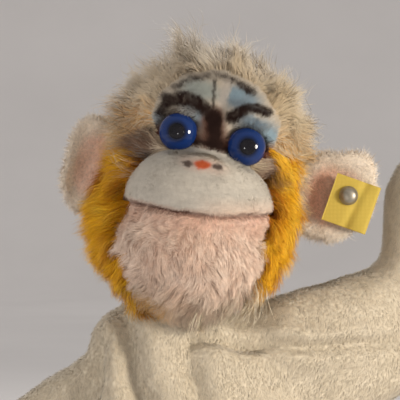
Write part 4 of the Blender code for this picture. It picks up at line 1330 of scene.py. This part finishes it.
def zone_of(p):
    """torso 0, then for each side: shoulder, upper arm, elbow, mitten."""
    out = np.zeros(len(p), int)
    torso = torso_gap(p)
    for number, (side, sign) in enumerate(SIDES):
        shoulder, elbow = SHOULDERS[side], ELBOWS[side]
        tip = elbow + HAND_WAYS[side] * MITTEN
        arm = np.minimum(segment_gap(p, shoulder, elbow), segment_gap(p, elbow, tip)) - 12.5
        if side == "l":
            begin, end, radius = DRAPES[side]
            arm = np.minimum(arm, segment_gap(p, begin, end) - radius)
        limb = (arm < torso - 0.6) & (p[:, 0] * sign > 0) & (p[:, 2] > 60)
        start, way, span = BENDS["shoulder_" + side]
        down_arm = (p - start) @ way
        out[limb & (down_arm > 0)] = 1 + 4 * number
        out[limb & (down_arm > span)] = 2 + 4 * number
        start, way, span = BENDS["elbow_" + side]
        past_elbow = (p - start) @ way
        out[limb & (down_arm > span) & (past_elbow > 0)] = 3 + 4 * number
        out[limb & (down_arm > span) & (past_elbow > span)] = 4 + 4 * number
    return out


# each zone of the sleeve, the body it rides or, for a bend zone, the pair of bodies it lies
# between, and the nodes it stands for
ZONES = {
    "torso": ("sleeve", ("body_front", "body_back")),
    "shoulder_l": (("sleeve", "arm_l"), ()),
    "upper_arm_l": ("arm_l", ("arm_l",)),
    "elbow_l": (("arm_l", "hand_l"), ()),
    "mitten_l": ("hand_l", ("hand_l",)),
    "shoulder_r": (("sleeve", "arm_r"), ()),
    "upper_arm_r": ("arm_r", ("arm_r",)),
    "elbow_r": (("arm_r", "hand_r"), ()),
    "mitten_r": ("hand_r", ("hand_r",)),
}


def attach(obj, material, zone):
    """Gives a sleeve piece its material and rides it on its zone's body; a piece in a bend zone is
    only fixed in place.
    """
    body = ZONES[zone][0]
    obj.data.materials.append(material)
    if zone not in BENDS:
        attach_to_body(obj, body)
        return
    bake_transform(obj)


def plush_tint(p):
    patch = noise(p, 12.0, 141)[:, None] * 0.03 + noise(p, 3.5, 143)[:, None] * 0.025
    return PLUSH + patch


centres = SLEEVE[SLEEVE_TRIS].mean(1)
SLEEVE_ZONE = zone_of(centres)
above_hem = SLEEVE[SLEEVE_TRIS][:, :, 2].min(1) > 0.2
neck_hole = (centres[:, 2] > 140) & (np.hypot(centres[:, 0], centres[:, 1]) < 12.4)
kept = above_hem & ~(neck_hole & (SLEEVE_ZONE == 0))
LINING = np.array([0.55, 0.47, 0.36])
for number, zone in enumerate(ZONES):
    keep = kept & (SLEEVE_ZONE == number)
    verts, tris, norms = compact(SLEEVE, SLEEVE_TRIS, keep, SLEEVE_NORMALS)
    count = len(verts)
    polys = [np.concatenate([tris, tris[:, ::-1] + count])]
    if zone == "torso":
        # walls between cloth and lining round the open edges
        edges = np.concatenate([tris[:, [0, 1]], tris[:, [1, 2]], tris[:, [2, 0]]])
        key = np.sort(edges, axis=1)
        _, index, times = np.unique(key, axis=0, return_index=True, return_counts=True)
        a, b = edges[index[times == 1]].T
        polys.insert(0, faces(4, b, a, a + count, b + count))
    # the outer cloth is darker than the pile on it: painted shade at the roots
    tint = np.concatenate([plush_tint(verts) * 0.9, np.tile(LINING, (count, 1))])
    layers = np.concatenate([verts, verts - norms * CLOTH_THICK])
    obj = build_mesh("cloth_" + zone, layers, polys, tint)
    attach(obj, CLOTH_MAT, zone)
    if ZONES[zone][1]:
        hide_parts(*ZONES[zone][1])

# ---------------- sleeve pile
rng = np.random.default_rng(707)
spots, norms = scatter(SLEEVE, SLEEVE_TRIS[kept], SLEEVE_NORMALS, 7.0, rng)
spots_zone = zone_of(spots)
MOST_FACES = 190000
comb = np.array([0.0, -0.2, -1.0])
comb = comb + noise3(spots, 14.0, 151) * 0.5 + noise3(spots, 3.0, 155) * 0.15
comb = comb + rng.normal(0, 0.14, spots.shape)
length = 1.0 + 0.08 * noise(spots, 3.0, 157) + rng.normal(0, 0.1, len(spots))
lean = 0.76 + 0.06 * noise(spots, 5.0, 159) + rng.normal(0, 0.05, len(spots))
strand = rng.normal(0, 0.018, (len(spots), 1))
# roots a little darker than tips: painted shade among the fibres
root = plush_tint(spots) * 0.95 + strand
tip = plush_tint(spots) * 1.03 + strand
fields = (spots, norms, comb, np.maximum(length, 0.8), lean, root, tip)
for number, zone in enumerate(ZONES):
    index = np.flatnonzero(spots_zone == number)
    splits = math.ceil(len(index) * 3 / MOST_FACES)
    for share, chosen in enumerate(np.array_split(index, splits)):
        piece = hair(
            f"pile_{zone}_{share + 1}", *(f[chosen] for f in fields), rng,
            width=0.2, steps=2, wave=0.06, soft=0.95, roll_spread=0.2,
        )
        attach(piece, PLUSH_MAT, zone)

# ---------------- neck
rings, spokes = 30, 160
verts = []
for i in range(rings + 1):
    polar = math.radians(34 + 104 * i / rings)
    widest = smooth(40, 75, np.array(math.degrees(polar)))
    for j in range(spokes):
        around = math.tau * j / spokes
        tuck = 0.55 * math.sin(around * 15 + 0.8 * math.sin(3 * around))
        r = 12.5 + (tuck + 0.15 * math.sin(around * 29)) * widest
        out = r * math.sin(polar)
        verts.append((out * math.cos(around), out * math.sin(around), r * math.cos(polar)))
verts = np.array(verts, float) + NECK_TOP
a, b, c, d = ring_grid(rings, spokes)
tris = faces(3, a, d, c, a, c, b)
norms = vertex_normals(verts, tris)
# the gathered cloth is darker than the pile on it: painted shade at the roots
gathered = build_mesh("neck_pleats", verts, [tris], plush_tint(verts) * 0.85)
dress(gathered, CLOTH_MAT, "neck", "neck_gather")
rng = np.random.default_rng(808)
spots, spot_norms = scatter(verts, tris, norms, 6.0, rng)
strand = rng.normal(0, 0.045, (len(spots), 1))
comb = np.array([0, 0, -1.0]) + rng.normal(0, 0.3, spots.shape)
# roots darker than tips: painted shade among the fibres
piece = hair(
    "neck_pile", spots, spot_norms, comb, np.abs(rng.normal(0.9, 0.15, len(spots))),
    np.full(len(spots), 0.75), PLUSH_ROOT_SHADE + strand, plush_tint(spots) + strand, rng,
    width=0.26, steps=2, wave=0.15,
)
dress(piece, PLUSH_MAT, "neck")

# ---------------- palm pads
hand_tree = BVHTree.FromPolygons([Vector(v) for v in SLEEVE], SLEEVE_TRIS.tolist())
for side, _ in SIDES:
    way = HAND_WAYS[side]
    across = np.cross(np.array([0, 1.0, 0]), way)
    centre = ELBOWS[side] + way * 27.0
    rings, spokes = 14, 56
    top, low = [], []
    for i in range(rings + 1):
        r = i / rings
        puff = 1.9 - 1.2 * r**8
        for j in range(spokes if i else 1):
            a = math.tau * j / spokes
            grow = 1 + 0.03 * math.sin(3 * a + 1)
            spot = centre + way * 9.0 * r * grow * math.cos(a)
            spot = spot + across * 7.0 * r * grow * math.sin(a)
            in_front = Vector((spot[0], -60.0, spot[2]))
            hit, normal, _, _ = hand_tree.ray_cast(in_front, Vector((0, 1, 0)))
            hit, normal = np.array(hit), np.array(normal)
            if normal[1] > 0:
                normal = -normal
            top.append(hit + normal * puff)
            low.append(hit - normal * 0.6)
    count, verts = len(top), np.array(top + low)
    first, after, _, _ = ring_grid(1, spokes, 1)
    a, b, c, d = ring_grid(rings - 1, spokes, 1)
    tris = np.concatenate([faces(3, 0, first, after), faces(3, a, d, c, a, c, b)])
    a, b, _, _ = ring_grid(1, spokes, 1 + (rings - 1) * spokes)
    walls = faces(3, a, a + count, b + count, a, b + count, b)
    shell = np.concatenate([tris, tris[:, ::-1] + count, walls])
    if vertex_normals(verts[:count], tris)[:, 1].mean() > 0:
        shell = shell[:, ::-1]
    tint = np.array([0.72, 0.42, 0.26]) + 0.05 * noise(verts, 2.0, 171)[:, None]
    pad = build_mesh("palm_felt_" + side, verts, [shell], tint)
    dress(pad, FELT_MAT, "hand_" + side, "palm_pad_" + side)

# ---------------- kept hardware
CARD = grained("grey_card", (0.30, 0.28, 0.25), (0.46, 0.44, 0.40), 500.0, 0.9, bump=0.1)
TAPE = woven("cotton_tape", (0.55, 0.50, 0.42), (0.82, 0.78, 0.70), 420.0)
CORD = grained("waxed_cord", (0.10, 0.07, 0.05), (0.28, 0.21, 0.15), 900.0, 0.6, bump=0.2)
STEEL = grained("steel_wire", (0.32, 0.32, 0.33), (0.55, 0.55, 0.56), 700.0, 0.3, 1.0, 0.02)
KEPT = {
    "hem_tape": TAPE, "neck_cord": CORD, "neck_tube": CARD, "eye_cord": CORD,
    "eye_loop_l": STEEL, "eye_loop_r": STEEL, "ear_washer": NICKEL,
}
for node, material in KEPT.items():
    mesh = frame["nodes"][node].data
    mesh.materials.clear()
    mesh.materials.append(material)

# ---------------- stage, light and camera
# a floor that bends up into a wall all round, in metres
FLOOR, BEND = 2.6, 1.2
bowl = [(0.0, 0.0), (0.5, 0.0), (1.5, 0.0), (FLOOR, 0.0)]
for a in np.linspace(0.1, 1.5, 14):
    bowl.append((FLOOR + BEND * math.sin(a), BEND - BEND * math.cos(a)))
bowl += [(3.8, 1.4), (3.8, 2.2)]
verts, quads = lathe(bowl, 96)
verts = verts[:, [0, 2, 1]] * 1000 - np.array([0.0, 0.0, 0.2])
backdrop = build_mesh("backdrop", verts, [quads])
paper = grained("pale_paper", (0.60, 0.575, 0.56), (0.66, 0.635, 0.62), 3.0, 0.95, bump=0.0)
dial(paper.node_tree.nodes["Principled BSDF"],
     {"Emission Color": (1.0, 0.955, 0.94, 1), "Emission Strength": 0.16})
backdrop.data.materials.append(paper)


def lamp(name, place, size, power, colour, cone=None):
    """A round lamp aimed at the head: a disk, or a spot where a cone angle is given."""
    data = bpy.data.lights.new(name, "SPOT" if cone else "AREA")
    if cone:
        data.shadow_soft_size = size / 2
        data.spot_size = math.radians(cone)
        data.spot_blend = 0.8
    else:
        data.shape = "DISK"
        data.size = size
    data.energy = power
    data.color = colour
    obj = bpy.data.objects.new(name, data)
    obj.location = place
    way = Vector((0.0, 0.0, 0.17)) - Vector(place)
    obj.rotation_euler = way.to_track_quat("-Z", "Y").to_euler()
    obj.visible_camera = False
    bpy.context.scene.collection.objects.link(obj)
    return obj


# the key is a spot, so that it leaves no hot patch on the floor
lamp("key", (0.60, -0.44, 0.20), 0.20, 20.0, (1.0, 0.92, 0.80), cone=44.0)
fill = lamp("fill", (-0.70, -0.60, 0.30), 0.7, 2.7, (1.0, 0.95, 0.89))
fill.visible_glossy = False
lamp("back", (0.35, 0.95, 0.55), 0.6, 1.6, (1.0, 0.96, 0.92))
lamp("catch", (-0.03, -0.43, 0.135), 0.02, 0.10, (1.0, 0.98, 0.95))
lamp("rim", (0.10, 0.70, 0.75), 0.5, 3.0, (1.0, 0.98, 0.95))

world = bpy.data.worlds.new("studio")
world.use_nodes = True
dial(world.node_tree.nodes["Background"], {"Color": (1.0, 0.97, 0.94, 1), "Strength": 0.4})
bpy.context.scene.world = world
bpy.context.scene.view_settings.view_transform = "Standard"

SENSOR, DISTANCE, SEEN_WIDTH = 36.0, 420.0, 100.0
camera_data = bpy.data.cameras.new("camera")
camera_data.sensor_width = SENSOR
camera_data.lens = SENSOR * DISTANCE / SEEN_WIDTH
camera_data.clip_start = 0.01
camera = bpy.data.objects.new("camera", camera_data)
camera.location = Vector((6.65, -440.0, 179.1)) * MM
camera.rotation_euler = (math.pi / 2, 0.0, 0.0)
bpy.context.scene.collection.objects.link(camera)
bpy.context.scene.camera = camera
